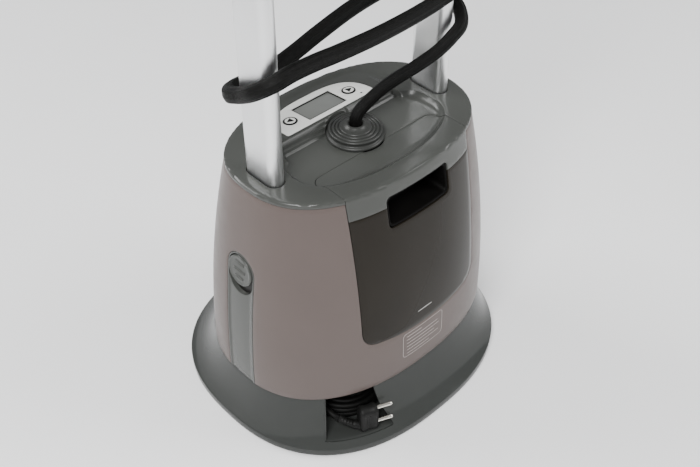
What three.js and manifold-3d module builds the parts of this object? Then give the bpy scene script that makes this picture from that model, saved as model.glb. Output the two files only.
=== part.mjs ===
// Upright garment steamer with twin flat poles, a lift-out water tank and a steam head on a hose.
// Millimetres, +Z up. The origin is the centre of the base's underside, the tank faces -Y and the
// poles stand at -X (left) and +X (right). The poles are telescoped down, as for storage.
import * as THREE from 'three';
import { mergeVertices } from 'three/addons/utils/BufferGeometryUtils.js';
import Module from 'manifold-3d';

const wasm = await Module();
wasm.setup();

// ---------------------------------------------------------------- driving dimensions
const GAP = 0.3;                 // clearance between fixed neighbours
const WALL = 3;                  // moulded casing wall
const ROUND = 40;                // sides of the large outlines
const ARC = 3;                   // straight pieces in a half-round or a corner

// base
const BASE = { a: 185, b: 165, n: 2.44, y: 0 };          // half length, half width, squareness, centre
const FOOT_H = 3.7, FOOT_R = 13;
const RIM_LOW = 1.5, RIM_TOP = 12;
const SKIRT_WALL = 2.5;
const SKIRT_TOP = 72.4;
const SKIRT_FLARE = 2.6;         // how sharply the base's slope turns up towards the body
const SKIRT_STRAIGHT = 0.5;      // the share of that slope's rise that is even

// body
const BODY_LOW = 73, BODY_TOP = 321.8;
const FOOTPRINT = { a: 168.5, b: 124.7, n: 2.346, y: -12.6 };
const RIM = { a: 140, b: 94.6, n: 2.42, y: -14.5 };
const BULGE = 6;                 // how far the flanks swell between the two
const DECK_TOP = 327.2;

// deck
const DISH = { a: 98, front: 48, rear: 42, y: -40, z: 320 };
const CONSOLE = { front: -1, crest: 11.5, rear: 66, crestZ: 331, half: 74, tilt: 5.75 };
const PANEL = { half: 61.3, y: 13, depth: 47.2, n: 3, thick: 1.6 };
const LCD = { halfX: 26.3, halfY: 15.5, y: 35.1 };
const BUTTON = { x: 41.2, y: 33.5, r: 7.6 };
const GLAND = { y: -20.9, r: 28.4, flange: 30.5, top: 335, bore: 14 };

// tank
const TANK = { half: 84.7, low: 133.5, corner: 22, sag: 4.5, rear: -47, wall: 2.5, top: 301.7 };
const GRIP = { half: 42.8, low: 277, high: 312.4, depth: 30, corner: 6 };
const VALVE = { y: -80, boss: 12, bore: 9 };

// poles
const POLE = { x: 115, y: -15.6, hx: 9.15, hy: 22.95, wall: 1.4, low: 205, high: 780 };
const INNER = { hx: 7.3, hy: 21.1, wall: 1.2, low: 232, high: 842 };
const STRIP = { half: 20.5, arch: 226, low: 73.3, thick: 3.6 };
const LATCH = { r: 17.8, well: 18.8, z: 226, travel: 10, y: -15.6 };

// top fittings and steam head
const COLLAR = { hx: 14, hy: 28, low: 752, high: 792 };
const HEAD = { y: -60, low: 620, neck: 765, top: 840, face: -86 };
const HOSE_D = 15.5;

// cord bay in the base: a local frame with u along the opening and v going inwards
const BAY = { x: -98, y: -132.7, angle: -23.5, floor: 18, depth: 118 };
const CORD_D = 7;
const COIL = { u: 4, v: 66, r: 39, across: 14, high: 21 };

// ---------------------------------------------------------------- materials
const paint = (color, roughness, metalness = 0, opacity = 1) => new THREE.MeshStandardMaterial({
  color, roughness, metalness, opacity, transparent: opacity < 1,
});
const MAUVE = paint(0x82766f, 0.42);
const GREY = paint(0x62665f, 0.28);
const DARK_GREY = paint(0x4e524e, 0.2);
const SMOKE = paint(0x3a352f, 0.12, 0, 0.75);
const BLACK = paint(0x121211, 0.5);
const RUBBER = paint(0x1c1c1b, 0.8);
const SILVER = paint(0xdcdcd8, 0.35);
const ALUMINIUM = paint(0xd2d3d3, 0.35, 0.9);
const STEEL = paint(0xb8bcc0, 0.25, 1);
const SCREEN = paint(0x8a8c88, 0.15);
const BOARD = paint(0x2c5a3a, 0.5);
const BRASS = paint(0xb59a55, 0.3, 1);
const WOVEN = paint(0x161614, 0.85);
const WHITE = paint(0xd8d6d0, 0.6);

// ---------------------------------------------------------------- solids
const root = new THREE.Group();
function add(name, geometry, material) {
  const mesh = new THREE.Mesh(geometry, material);
  mesh.name = name;
  root.add(mesh);
  return mesh;
}

function bare(geometry) {
  const g = geometry.clone();
  for (const extra of ['normal', 'uv']) g.deleteAttribute(extra);
  return mergeVertices(g, 1e-4);
}

function toSolid(geometry) {
  const g = bare(geometry);
  return new wasm.Manifold(new wasm.Mesh({
    numProp: 3,
    vertProperties: new Float32Array(g.attributes.position.array),
    triVerts: new Uint32Array(g.index.array),
  }));
}

function toGeometry(solid) {
  const mesh = solid.getMesh();
  const g = new THREE.BufferGeometry();
  g.setAttribute('position', new THREE.BufferAttribute(new Float32Array(mesh.vertProperties), 3));
  g.setIndex(new THREE.BufferAttribute(new Uint32Array(mesh.triVerts), 1));
  return g;
}

const fold = (how) => (first, ...rest) => toGeometry(
  rest.reduce((solid, g) => solid[how](toSolid(g)), toSolid(first)));
const cut = fold('subtract');
const join = fold('add');
const common = fold('intersect');

// A closed skin over rings of points. Rings that close on themselves make a tube with a hollow.
function skin(rings, looped = false) {
  const count = rings[0].length;
  const points = rings.flat();
  const index = [];
  const spans = looped ? rings.length : rings.length - 1;
  for (let i = 0; i < spans; i++) {
    const low = i * count, high = ((i + 1) % rings.length) * count;
    for (let j = 0; j < count; j++) {
      const k = (j + 1) % count;
      index.push(low + j, low + k, high + k, low + j, high + k, high + j);
    }
  }
  if (!looped) {
    for (const [ring, flip] of [[0, true], [rings.length - 1, false]]) {
      const middle = points.length;
      const sum = rings[ring].reduce((s, p) => [s[0] + p[0], s[1] + p[1], s[2] + p[2]], [0, 0, 0]);
      points.push(sum.map((value) => value / count));
      for (let j = 0; j < count; j++) {
        const a = ring * count + j, b = ring * count + ((j + 1) % count);
        index.push(...(flip ? [middle, b, a] : [middle, a, b]));
      }
    }
  }
  const g = new THREE.BufferGeometry();
  g.setAttribute('position', new THREE.Float32BufferAttribute(points.flat(), 3));
  g.setIndex(index);
  return g;
}

const spread = (low, high, steps) => Array.from({ length: steps + 1 },
  (_, i) => low + ((high - low) * i) / steps);
const mix = (p, q, t) => p + (q - p) * t;

// A superellipse: a rounded outline between an ellipse (n = 2) and a box (n large).
function outline(shape, z, inset = 0, count = ROUND) {
  return Array.from({ length: count }, (_, i) => {
    const angle = (2 * Math.PI * i) / count;
    const c = Math.cos(angle), s = Math.sin(angle);
    const x = (shape.a - inset) * Math.sign(c) * Math.abs(c) ** (2 / shape.n);
    const y = (shape.b - inset) * Math.sign(s) * Math.abs(s) ** (2 / shape.n);
    return [x, y + shape.y, z];
  });
}

function blend(p, q, t) {
  return { a: mix(p.a, q.a, t), b: mix(p.b, q.b, t), n: mix(p.n, q.n, t), y: mix(p.y, q.y, t) };
}

// The casing's outer outline at a height, moved inwards by an inset.
function casing(z, inset = 0) {
  const t = Math.min((z - BODY_LOW) / (BODY_TOP - BODY_LOW), 1);
  const crown = z <= 325 ? 0 : z <= 326.4 ? 0.8 : 2.4;
  return outline(blend(FOOTPRINT, RIM, t), z, inset + crown - BULGE * 4 * t * (1 - t));
}
const casingHeights = (low, high, steps = 5) => (high > 325
  ? [...spread(low, 325, steps), 326.4, high] : spread(low, high, steps));
const casingSolid = (low, high, inset = 0, steps = 5) => skin(
  casingHeights(low, high, steps).map((z) => casing(z, inset)));

const box = (x0, x1, y0, y1, z0, z1) => new THREE.BoxGeometry(x1 - x0, y1 - y0, z1 - z0)
  .translate((x0 + x1) / 2, (y0 + y1) / 2, (z0 + z1) / 2);
const extrude = (shape, depth, curveSegments = ARC) => new THREE.ExtrudeGeometry(
  shape, { depth, bevelEnabled: false, curveSegments });
const alongZ = (shape, z0, z1, curves) => extrude(shape, z1 - z0, curves).translate(0, 0, z0);
// the shape's plane is XZ, seen from the front
const alongY = (shape, y0, y1, curves) => extrude(shape, y1 - y0, curves)
  .rotateX(Math.PI / 2).translate(0, y1, 0);
// the shape's plane is YZ
const alongX = (shape, x0, x1, curves) => extrude(shape, x1 - x0, curves)
  .rotateX(Math.PI / 2).rotateZ(Math.PI / 2).translate(x0, 0, 0);
const rod = (r, length, sides = 14) => new THREE.CylinderGeometry(r, r, length, sides);
const rodZ = (r, x, y, z0, z1, sides) => rod(r, z1 - z0, sides)
  .rotateX(Math.PI / 2).translate(x, y, (z0 + z1) / 2);
const rodX = (r, x0, x1, y, z, sides) => rod(r, x1 - x0, sides)
  .rotateZ(Math.PI / 2).translate((x0 + x1) / 2, y, z);
const rodY = (r, x, y0, y1, z, sides) => rod(r, y1 - y0, sides).translate(x, (y0 + y1) / 2, z);

function roundedRect(x0, x1, y0, y1, r) {
  const s = new THREE.Shape();
  s.moveTo(x0 + r, y0).lineTo(x1 - r, y0).absarc(x1 - r, y0 + r, r, -Math.PI / 2, 0);
  s.lineTo(x1, y1 - r).absarc(x1 - r, y1 - r, r, 0, Math.PI / 2);
  s.lineTo(x0 + r, y1).absarc(x0 + r, y1 - r, r, Math.PI / 2, Math.PI);
  s.lineTo(x0, y0 + r).absarc(x0 + r, y0 + r, r, Math.PI, Math.PI * 1.5);
  return s;
}

// A flat tube's section: half-round narrow sides in front and behind.
function obround(x, y, hx, hy) {
  const s = new THREE.Shape();
  const straight = hy - hx;
  s.moveTo(x + hx, y - straight).lineTo(x + hx, y + straight);
  s.absarc(x, y + straight, hx, 0, Math.PI);
  s.lineTo(x - hx, y - straight).absarc(x, y - straight, hx, Math.PI, Math.PI * 2);
  return s;
}

function flatTube(x, y, outer, inner, z0, z1) {
  const shape = obround(x, y, outer.hx, outer.hy);
  shape.holes.push(obround(x, y, inner.hx, inner.hy));
  return alongZ(shape, z0, z1);
}
const grown = (section, by) => ({ hx: section.hx + by, hy: section.hy + by });

function polygon(points) {
  return new THREE.Shape(points.map(([x, y]) => new THREE.Vector2(x, y)));
}

// A round bar along a curve.
function tube(points, diameter, steps, sides = 8) {
  const section = new THREE.Shape(Array.from({ length: sides }, (_, i) => new THREE.Vector2(
    (diameter / 2) * Math.cos((2 * Math.PI * i) / sides),
    (diameter / 2) * Math.sin((2 * Math.PI * i) / sides))));
  const path = new THREE.CatmullRomCurve3(points.map((p) => new THREE.Vector3(...p)));
  return new THREE.ExtrudeGeometry(section, { steps, extrudePath: path, bevelEnabled: false });
}

function spring(x, y, z0, z1, r, wire, turns) {
  const perTurn = 6;
  const steps = turns * perTurn;
  const points = Array.from({ length: steps + 1 }, (_, i) => {
    const angle = (2 * Math.PI * i) / perTurn;
    return [x + r * Math.cos(angle), y + r * Math.sin(angle), mix(z0 + wire, z1 - wire, i / steps)];
  });
  return tube(points, wire, steps, 4);
}

const lathe = (profile, sides = 16) => new THREE.LatheGeometry(
  profile.map(([r, z]) => new THREE.Vector2(r, z)), sides).rotateX(Math.PI / 2);

const SIDES = [['left', -1], ['right', 1]];

// ---------------------------------------------------------------- base
function skirtRing(t, inset, drop) {
  const neck = { ...FOOTPRINT, a: FOOTPRINT.a - 2, b: FOOTPRINT.b - 2 };
  const rise = mix(t ** SKIRT_FLARE, t, SKIRT_STRAIGHT);
  const z = mix(RIM_TOP, SKIRT_TOP, rise);
  return outline(blend(BASE, neck, t), z - drop, inset + 0.6 * (1 - t));
}
const slope = [0, 0.3, 0.55, 0.8, 1];
const skirtOuter = [
  outline(BASE, RIM_LOW, 1), outline(BASE, RIM_LOW + 1.5), outline(BASE, RIM_TOP - 0.8),
  ...slope.map((t) => skirtRing(t, 0, 0)),
];
const skirtInner = [
  ...slope.slice().reverse().map((t) => skirtRing(t, SKIRT_WALL, t === 1 ? 0 : 1.2)),
  outline(BASE, RIM_TOP - 4, SKIRT_WALL + 1), outline(BASE, RIM_LOW, SKIRT_WALL + 1),
];
const skirtInside = skin([
  outline(BASE, RIM_LOW - 1, SKIRT_WALL + 1 + GAP),
  outline(BASE, RIM_TOP - 4.4, SKIRT_WALL + 1 + GAP),
  ...slope.map((t) => skirtRing(t, SKIRT_WALL + GAP, 1.6)),
]);

const inward = THREE.MathUtils.degToRad(BAY.angle);
const placed = (geometry) => geometry.rotateZ(inward).translate(BAY.x, BAY.y, 0);
const opening = polygon([[-42, BAY.floor + 0.6], [39.5, BAY.floor + 0.6], [25.6, 48.6], [17, 80], [-34, 80]]);
const bayOpening = placed(alongY(opening, -30, 40));
add('base_skirt', cut(skin([...skirtOuter, ...skirtInner], true), bayOpening), DARK_GREY);

const plateTop = 7;
add('base_plate', skin([
  outline(BASE, FOOT_H + GAP, SKIRT_WALL + 1 + GAP), outline(BASE, plateTop, SKIRT_WALL + 1 + GAP),
]), DARK_GREY);
const FEET = [['front_left', -105, -95], ['front_right', 105, -95],
  ['rear_left', -105, 100], ['rear_right', 105, 100]];
for (const [where, x, y] of FEET) {
  const profile = [[0, 0], [FOOT_R - 1, 0], [FOOT_R, 1], [FOOT_R, FOOT_H], [0, FOOT_H]];
  add(`foot_${where}`, lathe(profile, 14).translate(x, y, 0), RUBBER);
}

// bay liner: narrow behind the opening, wider where the coiled cord lies
const bayPlan = (out) => polygon([[-41.8 - out, -30], [41.8 + out, -30], [41.8 + out, 18],
  [54 + out, 30], [54 + out, BAY.depth + out], [-54 - out, BAY.depth + out],
  [-54 - out, 30], [-41.8 - out, 18]]);
const bayFloor = BAY.floor - 2;
const reliefAt = { u: -46, z: BAY.floor + 8.4 };
const reliefHole = placed(rodY(5.4, reliefAt.u, BAY.depth - 3, BAY.depth + 4, reliefAt.z, 16));
add('cord_bay', cut(
  common(placed(alongZ(bayPlan(2), bayFloor, SKIRT_TOP - 0.6)), skirtInside),
  placed(alongZ(bayPlan(0), BAY.floor, 90)), reliefHole), GREY);

// ---------------------------------------------------------------- casing
const chassisLow = BODY_LOW + GAP, chassisHigh = chassisLow + 3;
add('chassis_plate', skin([casing(chassisLow, WALL + 1.2), casing(chassisHigh, WALL + 1.2)]),
  BLACK);

// the front opening that the tank fills: straight sides, round corners and a sagging lower edge
function tankFront(inset, top) {
  const half = TANK.half - inset, low = TANK.low + inset, r = TANK.corner - inset;
  const side = low + TANK.sag;
  const s = new THREE.Shape();
  s.moveTo(-half, top).lineTo(-half, side + r);
  s.quadraticCurveTo(-half, side, -half + r, side);
  s.quadraticCurveTo(0, low - TANK.sag, half - r, side);
  s.quadraticCurveTo(half, side, half, side + r).lineTo(half, top);
  return s;
}

function stripFace(inset, low, y = POLE.y) {
  const r = STRIP.half - inset;
  const s = new THREE.Shape();
  s.moveTo(y - r, low).lineTo(y + r, low).lineTo(y + r, STRIP.arch);
  s.absarc(y, STRIP.arch, r, 0, Math.PI).lineTo(y - r, low);
  return s;
}
const latchWell = (r) => {
  const s = new THREE.Shape();
  s.absarc(LATCH.y, LATCH.z, r, 0, Math.PI);
  s.absarc(LATCH.y, LATCH.z - LATCH.travel - 1, r, Math.PI, Math.PI * 2);
  return s;
};

const bodyHeights = spread(BODY_LOW, BODY_TOP - GAP / 2, 5);
const bodySkin = skin([
  ...bodyHeights.map((z) => casing(z)),
  ...bodyHeights.slice().reverse().map((z) => casing(z, WALL)),
], true);
const sideCut = (sign, shape) => (sign < 0
  ? alongX(shape, -190, -110, 6) : alongX(shape, 110, 190, 6));
add('body_shell', cut(bodySkin,
  alongY(tankFront(-GAP - 0.2, 340), -190, -40),
  ...SIDES.map(([, sign]) => sideCut(sign, stripFace(-GAP, 60)))), MAUVE);

// a thin curved piece of the casing, as thick as given
const stripHeights = spread(STRIP.low, 250, 4);
const stripSkin = skin([
  ...stripHeights.map((z) => casing(z, 0.3)),
  ...stripHeights.slice().reverse().map((z) => casing(z, 0.3 + STRIP.thick)),
], true);
for (const [side, sign] of SIDES) {
  add(`side_strip_${side}`, cut(
    common(stripSkin, sideCut(sign, stripFace(0, 60))),
    sideCut(sign, latchWell(LATCH.well))), GREY);
}

// ---------------------------------------------------------------- pole latches
const latchLean = Math.atan2(casing(196)[0][0] - casing(247)[0][0], 247 - 196);
const latchX = casing(LATCH.z)[0][0] + 0.9;
const ribs = [-6.5, 0, 6.5];
for (const [side, sign] of SIDES) {
  const face = lathe([[0, -4.6], [LATCH.r, -4.6], [LATCH.r, -1.2], [LATCH.r - 1.4, 0], [0, 0.5]], 20);
  const rib = (offset) => box(-8.5 + Math.abs(offset) * 0.3, 8.5 - Math.abs(offset) * 0.3,
    offset - 1, offset + 1, -0.5, 1.3);
  const stem = rodZ(6, 0, 0, -13, -4, 16);
  const spring_seat = box(-7, 7, -14, -4, -13, -10);
  const latch = join(face, ...ribs.map(rib), stem, spring_seat)
    .rotateZ(Math.PI / 2).rotateY(Math.PI / 2).rotateY(-latchLean)
    .translate(latchX, LATCH.y, LATCH.z);
  const held = spring(latchX - 9.5, LATCH.y, 190, 207.5, 4, 1, 4);
  if (sign < 0) {
    latch.rotateZ(Math.PI).translate(0, 2 * LATCH.y, 0);
    held.rotateZ(Math.PI).translate(0, 2 * LATCH.y, 0);
  }
  add(`pole_latch_${side}`, latch, GREY);
  add(`latch_spring_${side}`, held, STEEL);
}

// ---------------------------------------------------------------- poles and sockets
for (const [side, sign] of SIDES) {
  const x = sign * POLE.x;
  const bore = grown(POLE, 0.4), sleeve = grown(POLE, 3.2);
  const cup = join(flatTube(x, POLE.y, sleeve, bore, POLE.low - 5, BODY_TOP - 9),
    alongZ(obround(x, POLE.y, sleeve.hx, sleeve.hy), POLE.low - 9, POLE.low - 4.5));
  add(`pole_socket_${side}`, cup, BLACK);
  add(`lower_pole_${side}`, flatTube(x, POLE.y, POLE, grown(POLE, -POLE.wall),
    POLE.low, POLE.high), ALUMINIUM);
  add(`upper_pole_${side}`, flatTube(x, POLE.y, INNER, grown(INNER, -INNER.wall),
    INNER.low, INNER.high), ALUMINIUM);
}

// ---------------------------------------------------------------- tank well, tank and lid
const wellInset = WALL + 0.6;
const wellFloor = TANK.low - TANK.sag - 5;
const wellBack = TANK.rear + 1.2;
const wellBlock = common(casingSolid(wellFloor - 2.5, 312, wellInset),
  box(-TANK.half - 4, TANK.half + 4, -190, wellBack + 2.5, wellFloor - 2.5, 312));
const tankSeat = alongY(tankFront(-0.9, 340), -190, wellBack);
add('tank_well', cut(wellBlock, tankSeat,
  rodZ(VALVE.bore + 5.5, 0, VALVE.y, wellFloor - 9, TANK.low + 6, 24)), BLACK);

// the seat in the well's floor, with the pin that lifts the valve
const seatTop = TANK.low - 3.4;
add('valve_seat', join(
  lathe([[4.4, seatTop - 8], [VALVE.bore + 4.9, seatTop - 8], [VALVE.bore + 4.9, seatTop],
    [4.4, seatTop], [4.4, seatTop - 8]], 16),
  rodZ(2, 0, 0, seatTop - 8, seatTop + 4.4, 12),
  box(-6, 6, -0.9, 0.9, seatTop - 8, seatTop - 5)).translate(0, VALVE.y, 0), RUBBER);

const tankBlock = common(casingSolid(110, TANK.top, 0),
  alongY(tankFront(0, TANK.top), -190, TANK.rear));
const tankRoom = common(casingSolid(110, TANK.top + 6, TANK.wall),
  alongY(tankFront(TANK.wall, TANK.top + 5), -190, TANK.rear - TANK.wall));
const gripHole = (out, y0, y1) => alongY(
  roundedRect(-GRIP.half - out, GRIP.half + out, GRIP.low - out, GRIP.high + out, GRIP.corner),
  y0, y1);
const bossLow = seatTop + 0.5, bossTop = TANK.low + 12;
const valveBore = rodZ(VALVE.bore - 3, 0, VALVE.y, bossLow - 1, bossTop - 2, 14);
const boss = rodZ(VALVE.boss - 2, 0, VALVE.y, bossLow, bossTop, 16);
const bossPorts = box(-3, 3, VALVE.y - 20, VALVE.y + 20, bossTop - 7, bossTop - 4);
add('water_tank', cut(join(cut(tankBlock, tankRoom), boss), valveBore, bossPorts,
  rodZ(VALVE.bore - 5, 0, VALVE.y, bossTop - 3, bossTop + 2, 12),
  gripHole(GAP, -190, TANK.rear - 8)), SMOKE);

// valve: a stem with a head, held down by a spring against the tank's boss
const plungerLow = seatTop + 4.4 + GAP;
add('valve_plunger', lathe([[0, plungerLow], [5, plungerLow], [5, plungerLow + 2.4],
  [1.6, plungerLow + 3], [1.6, bossTop + 3.4], [0, bossTop + 3.4]], 16).translate(0, VALVE.y, 0),
WHITE);
add('valve_spring', spring(0, VALVE.y, plungerLow + 2.6, bossTop - 2.2, 3.9, 0.8, 2), STEEL);

// finger grip pressed back into the tank's front
const gripFront = common(gripHole(-0.1, -190, -70), casingSolid(270, 320, 1.2));
const gripBack = -GRIP.depth - 80;
const gripOuter = cut(gripFront, box(-60, 60, gripBack + 30, 0, 260, 330));
const gripPocket = alongY(roundedRect(-GRIP.half + 2, GRIP.half - 2, GRIP.low + 2, GRIP.high - 2,
  GRIP.corner - 1.5), -190, gripBack + 28);
add('grip_cup', cut(gripOuter, gripPocket), BLACK);

// deck and lid share one crown, parted by a straight cut behind the lid
const dishHalf = (low) => Array.from({ length: 21 }, (_, i) => {
  const angle = Math.PI * (i / 20) * (low ? -1 : 1);
  const n = low ? 2.2 : 4;
  const c = Math.cos(angle), s = Math.sin(angle);
  const depth = low ? DISH.front : DISH.rear;
  return [DISH.a * Math.sign(c) * Math.abs(c) ** (2 / n),
    DISH.y + depth * Math.sign(s) * Math.abs(s) ** (2 / n)];
});
const dishOutline = polygon([...dishHalf(true).reverse().slice(0, -1), ...dishHalf(false).slice(0, -1)]);
const dish = cut(alongZ(dishOutline, DISH.z, 345),
  box(-200, 200, CONSOLE.front, 200, DISH.z - 1, 350));
const lidPlan = (out) => polygon([[-TANK.half - out, -190], [TANK.half + out, -190],
  [TANK.half + out, TANK.rear + out - 8], [TANK.half + out - 8, TANK.rear + out],
  [-TANK.half - out + 8, TANK.rear + out], [-TANK.half - out, TANK.rear + out - 8]]);
const lidBlock = common(casingSolid(TANK.top + GAP, DECK_TOP, 0, 3),
  alongZ(lidPlan(0), 290, 340));
const lidRoom = common(casingSolid(290, 316.5, TANK.wall, 3), alongZ(lidPlan(-TANK.wall), 280, 316.5));
const glandNotch = rodZ(GLAND.flange + 0.6, 0, GLAND.y, 300, 345, 32);
add('tank_lid', cut(lidBlock, lidRoom, dish, glandNotch, gripHole(GAP, -190, -70)), GREY);

// ---------------------------------------------------------------- deck, console and controls
const lean = THREE.MathUtils.degToRad(CONSOLE.tilt);
const crestAt = (y) => CONSOLE.crestZ - Math.tan(lean) * (y - CONSOLE.crest);
const wedge = new THREE.Shape();
wedge.moveTo(CONSOLE.front, 314).lineTo(CONSOLE.rear, 314);
wedge.lineTo(CONSOLE.rear, crestAt(CONSOLE.rear)).lineTo(CONSOLE.crest, CONSOLE.crestZ);
wedge.lineTo(CONSOLE.front + 4, DISH.z + 2.5).lineTo(CONSOLE.front, DISH.z);
const consoleEnd = { a: CONSOLE.half + 6, b: 70, n: 3, y: 6 };
const consoleBlock = common(alongX(wedge, -90, 90), skin([
  outline(consoleEnd, 310, -8), outline(consoleEnd, 322, -3), outline(consoleEnd, 335, 4)]));

// anything on the console's tilted top is made flat at the origin and set on it
const onConsole = (geometry, y, rise = 0) => geometry.rotateX(-lean)
  .translate(0, y, crestAt(y) + rise);
function panelFace(inset) {
  const half = PANEL.half - inset, depth = PANEL.depth - inset;
  const arc = Array.from({ length: 17 }, (_, i) => {
    const angle = (Math.PI * i) / 16;
    const c = Math.cos(angle), s = Math.sin(angle);
    return [half * Math.sign(c) * Math.abs(c) ** (2 / PANEL.n),
      depth * Math.abs(s) ** (2 / PANEL.n)];
  });
  return polygon([[-half, inset], [half, inset], ...arc]);
}
const panelRecess = onConsole(extrude(panelFace(-GAP), 20).translate(0, 0, -PANEL.thick - GAP),
  PANEL.y);
const buttonHole = (sign, r) => onConsole(
  rodZ(r, sign * BUTTON.x, 0, -14, 8, 20), BUTTON.y);
const lcdHole = (grow) => onConsole(box(-LCD.halfX - grow, LCD.halfX + grow,
  -LCD.halfY - grow, LCD.halfY + grow, -14, 8), LCD.y);

const deckCrown = common(casingSolid(BODY_TOP + GAP / 2, DECK_TOP, 0, 1),
  box(-200, 200, -200, 200, 320, DECK_TOP + 1));
const deckPlate = casingSolid(314, BODY_TOP + 1, WALL + 0.6, 2);
const lidSpace = alongZ(lidPlan(0.6), 290, 345);
add('top_deck', cut(join(deckCrown, deckPlate, consoleBlock), dish, lidSpace,
  ...SIDES.map(([, sign]) => alongZ(obround(sign * POLE.x, POLE.y, POLE.hx + 0.7, POLE.hy + 0.7),
    300, 340)),
  rodZ(GLAND.bore + GAP, 0, GLAND.y, 300, 340, 24),
  rodZ(GLAND.flange + 0.6, 0, GLAND.y, DISH.z, 345, 32),
  box(-58, 58, CONSOLE.crest + 4, 58, 300, 322.5),
  panelRecess, buttonHole(-1, BUTTON.r + 1.6), buttonHole(1, BUTTON.r + 1.6), lcdHole(1)), GREY);

add('panel_plate', cut(
  onConsole(extrude(panelFace(0), PANEL.thick).translate(0, 0, -PANEL.thick), PANEL.y),
  buttonHole(-1, BUTTON.r + 0.4), buttonHole(1, BUTTON.r + 0.4), lcdHole(GAP)), SILVER);
add('display', onConsole(box(-LCD.halfX, LCD.halfX, -LCD.halfY, LCD.halfY, -6, -0.2), LCD.y),
  SCREEN);
for (const [side, sign] of SIDES) {
  const profile = [[0, -9], [3, -9], [3, -3], [BUTTON.r + 1.1, -3], [BUTTON.r + 1.1, -2.2],
    [BUTTON.r, -2.2], [BUTTON.r, 0.4], [0, 1.1]];
  add(`button_${side}`, onConsole(lathe(profile, 16).translate(sign * BUTTON.x, 0, 0), BUTTON.y),
    SILVER);
}
add('control_board', box(-52, 52, 18, 56, 305, 306.6), BOARD);

const glandSeat = DISH.z + GAP;
const ridge = (r, z) => [[r, z], [r - 1.6, z + 0.4], [r - 2.2, z - 1]];
const glandProfile = [[0, 305], [GLAND.bore - 1, 305], [GLAND.bore - 1, glandSeat],
  [GLAND.flange, glandSeat], [GLAND.flange, glandSeat + 2.5], [GLAND.r + 0.6, glandSeat + 6],
  ...ridge(GLAND.r, 329), ...ridge(22, 330.4), [12.6, 332], [10, GLAND.top], [0, GLAND.top]];
add('hose_gland', lathe(glandProfile, 20).translate(0, GLAND.y, 0), DARK_GREY);

// ---------------------------------------------------------------- water and steam inside
const boilerBox = roundedRect(-48, 48, 12, 78, 12);
add('boiler', join(alongZ(boilerBox, 112, 168), rodZ(11, 0, 40, 160, 182)), ALUMINIUM);
add('heating_element', tube([[-30, 20, 106], [-30, 60, 106], [-18, 72, 106], [18, 72, 106],
  [30, 60, 106], [30, 20, 106], [30, 4, 108]], 8, 16), STEEL);
add('steam_pipe', tube([[0, 40, 182.4], [0, 40, 205], [0, 32, 235], [0, 4, 262], [0, -16, 282],
  [0, GLAND.y, 296], [0, GLAND.y, 304.6]], 14, 12), RUBBER);
add('pump', join(rodX(15, -78, -30, -12, 100, 20), rodX(6, -90, -18, -12, 100, 12),
  box(-66, -42, -26, 2, chassisHigh + GAP, 100)), WHITE);
add('water_tube', tube([[0, VALVE.y, seatTop - 8.4], [0, VALVE.y + 1, 116], [4, VALVE.y + 12, 104],
  [10, -50, 100], [6, -24, 100], [-4, -13, 100], [-17.6, -12, 100]], 8, 14), RUBBER);
add('feed_tube', tube([[-90.4, -12, 100], [-104, -11, 101], [-112, 4, 108], [-108, 26, 122],
  [-90, 42, 132], [-70, 46, 134], [-48.4, 46, 134]], 8, 16), RUBBER);

// ---------------------------------------------------------------- bridge, clamps and cradle
const bridgeMid = 772;
const bar = alongX(roundedRect(POLE.y - 9, POLE.y + 9, 761, 785, 6), -112, 112, 4);
const collar = (sign) => alongZ(obround(sign * POLE.x, POLE.y, COLLAR.hx, COLLAR.hy),
  COLLAR.low, COLLAR.high);
const ear = (sign, end) => {
  const y = POLE.y + end * 13;
  return box(Math.min(sign * 124, sign * 139), Math.max(sign * 124, sign * 139),
    y - 1.6, y + 1.6, 780, COLLAR.high);
};
const pinAt = { x: 134.5, z: 786, r: 2 };
const bridgeCuts = SIDES.flatMap(([, sign]) => [
  alongZ(obround(sign * POLE.x, POLE.y, POLE.hx + 0.4, POLE.hy + 0.4), 740, POLE.high + 0.4),
  alongZ(obround(sign * POLE.x, POLE.y, INNER.hx + 0.4, INNER.hy + 0.4), 770, 800),
  rodY(pinAt.r + 0.3, sign * pinAt.x, POLE.y - 20, POLE.y + 20, pinAt.z, 10),
]);
const cradleMount = box(-13, 13, POLE.y - 13, POLE.y - 5, 764, 782);
add('pole_bridge', cut(join(bar, cradleMount, ...SIDES.map(([, sign]) => collar(sign)),
  ...SIDES.flatMap(([, sign]) => [ear(sign, -1), ear(sign, 1)])), ...bridgeCuts), BLACK);

for (const [side, sign] of SIDES) {
  const plate = box(Math.min(sign * 129.6, sign * 134), Math.max(sign * 129.6, sign * 134),
    POLE.y - 11, POLE.y + 11, 750, 786);
  const tip = box(Math.min(sign * 131, sign * 138), Math.max(sign * 131, sign * 138),
    POLE.y - 11, POLE.y + 11, 744, 751);
  add(`clamp_lever_${side}`, join(plate, tip,
    rodY(4.4, sign * pinAt.x, POLE.y - 11, POLE.y + 11, pinAt.z, 12),
    rodY(pinAt.r, sign * pinAt.x, POLE.y - 14.4, POLE.y + 14.4, pinAt.z, 10)), GREY);
}

// a fork in front of the bridge that the steam head's neck drops into
const forkLow = 764, forkHigh = 769;
const fork = polygon([[-30, -29], [-30, -84], [-24, -90], [-18, -84], [-18, -58],
  [-12, -46], [0, -42], [12, -46], [18, -58], [18, -84], [24, -90], [30, -84], [30, -29]]);
add('head_cradle', join(alongZ(fork, forkLow, forkHigh),
  box(-13, 13, -32, POLE.y - 13 - GAP, 752, forkLow + 1),
  box(-13, 13, -32, POLE.y - 13 - GAP, forkHigh - 1, 782),
  box(-29, -19, -88, -84.5, forkHigh - 1, 774), box(19, 29, -88, -84.5, forkHigh - 1, 774)),
BLACK);

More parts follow.
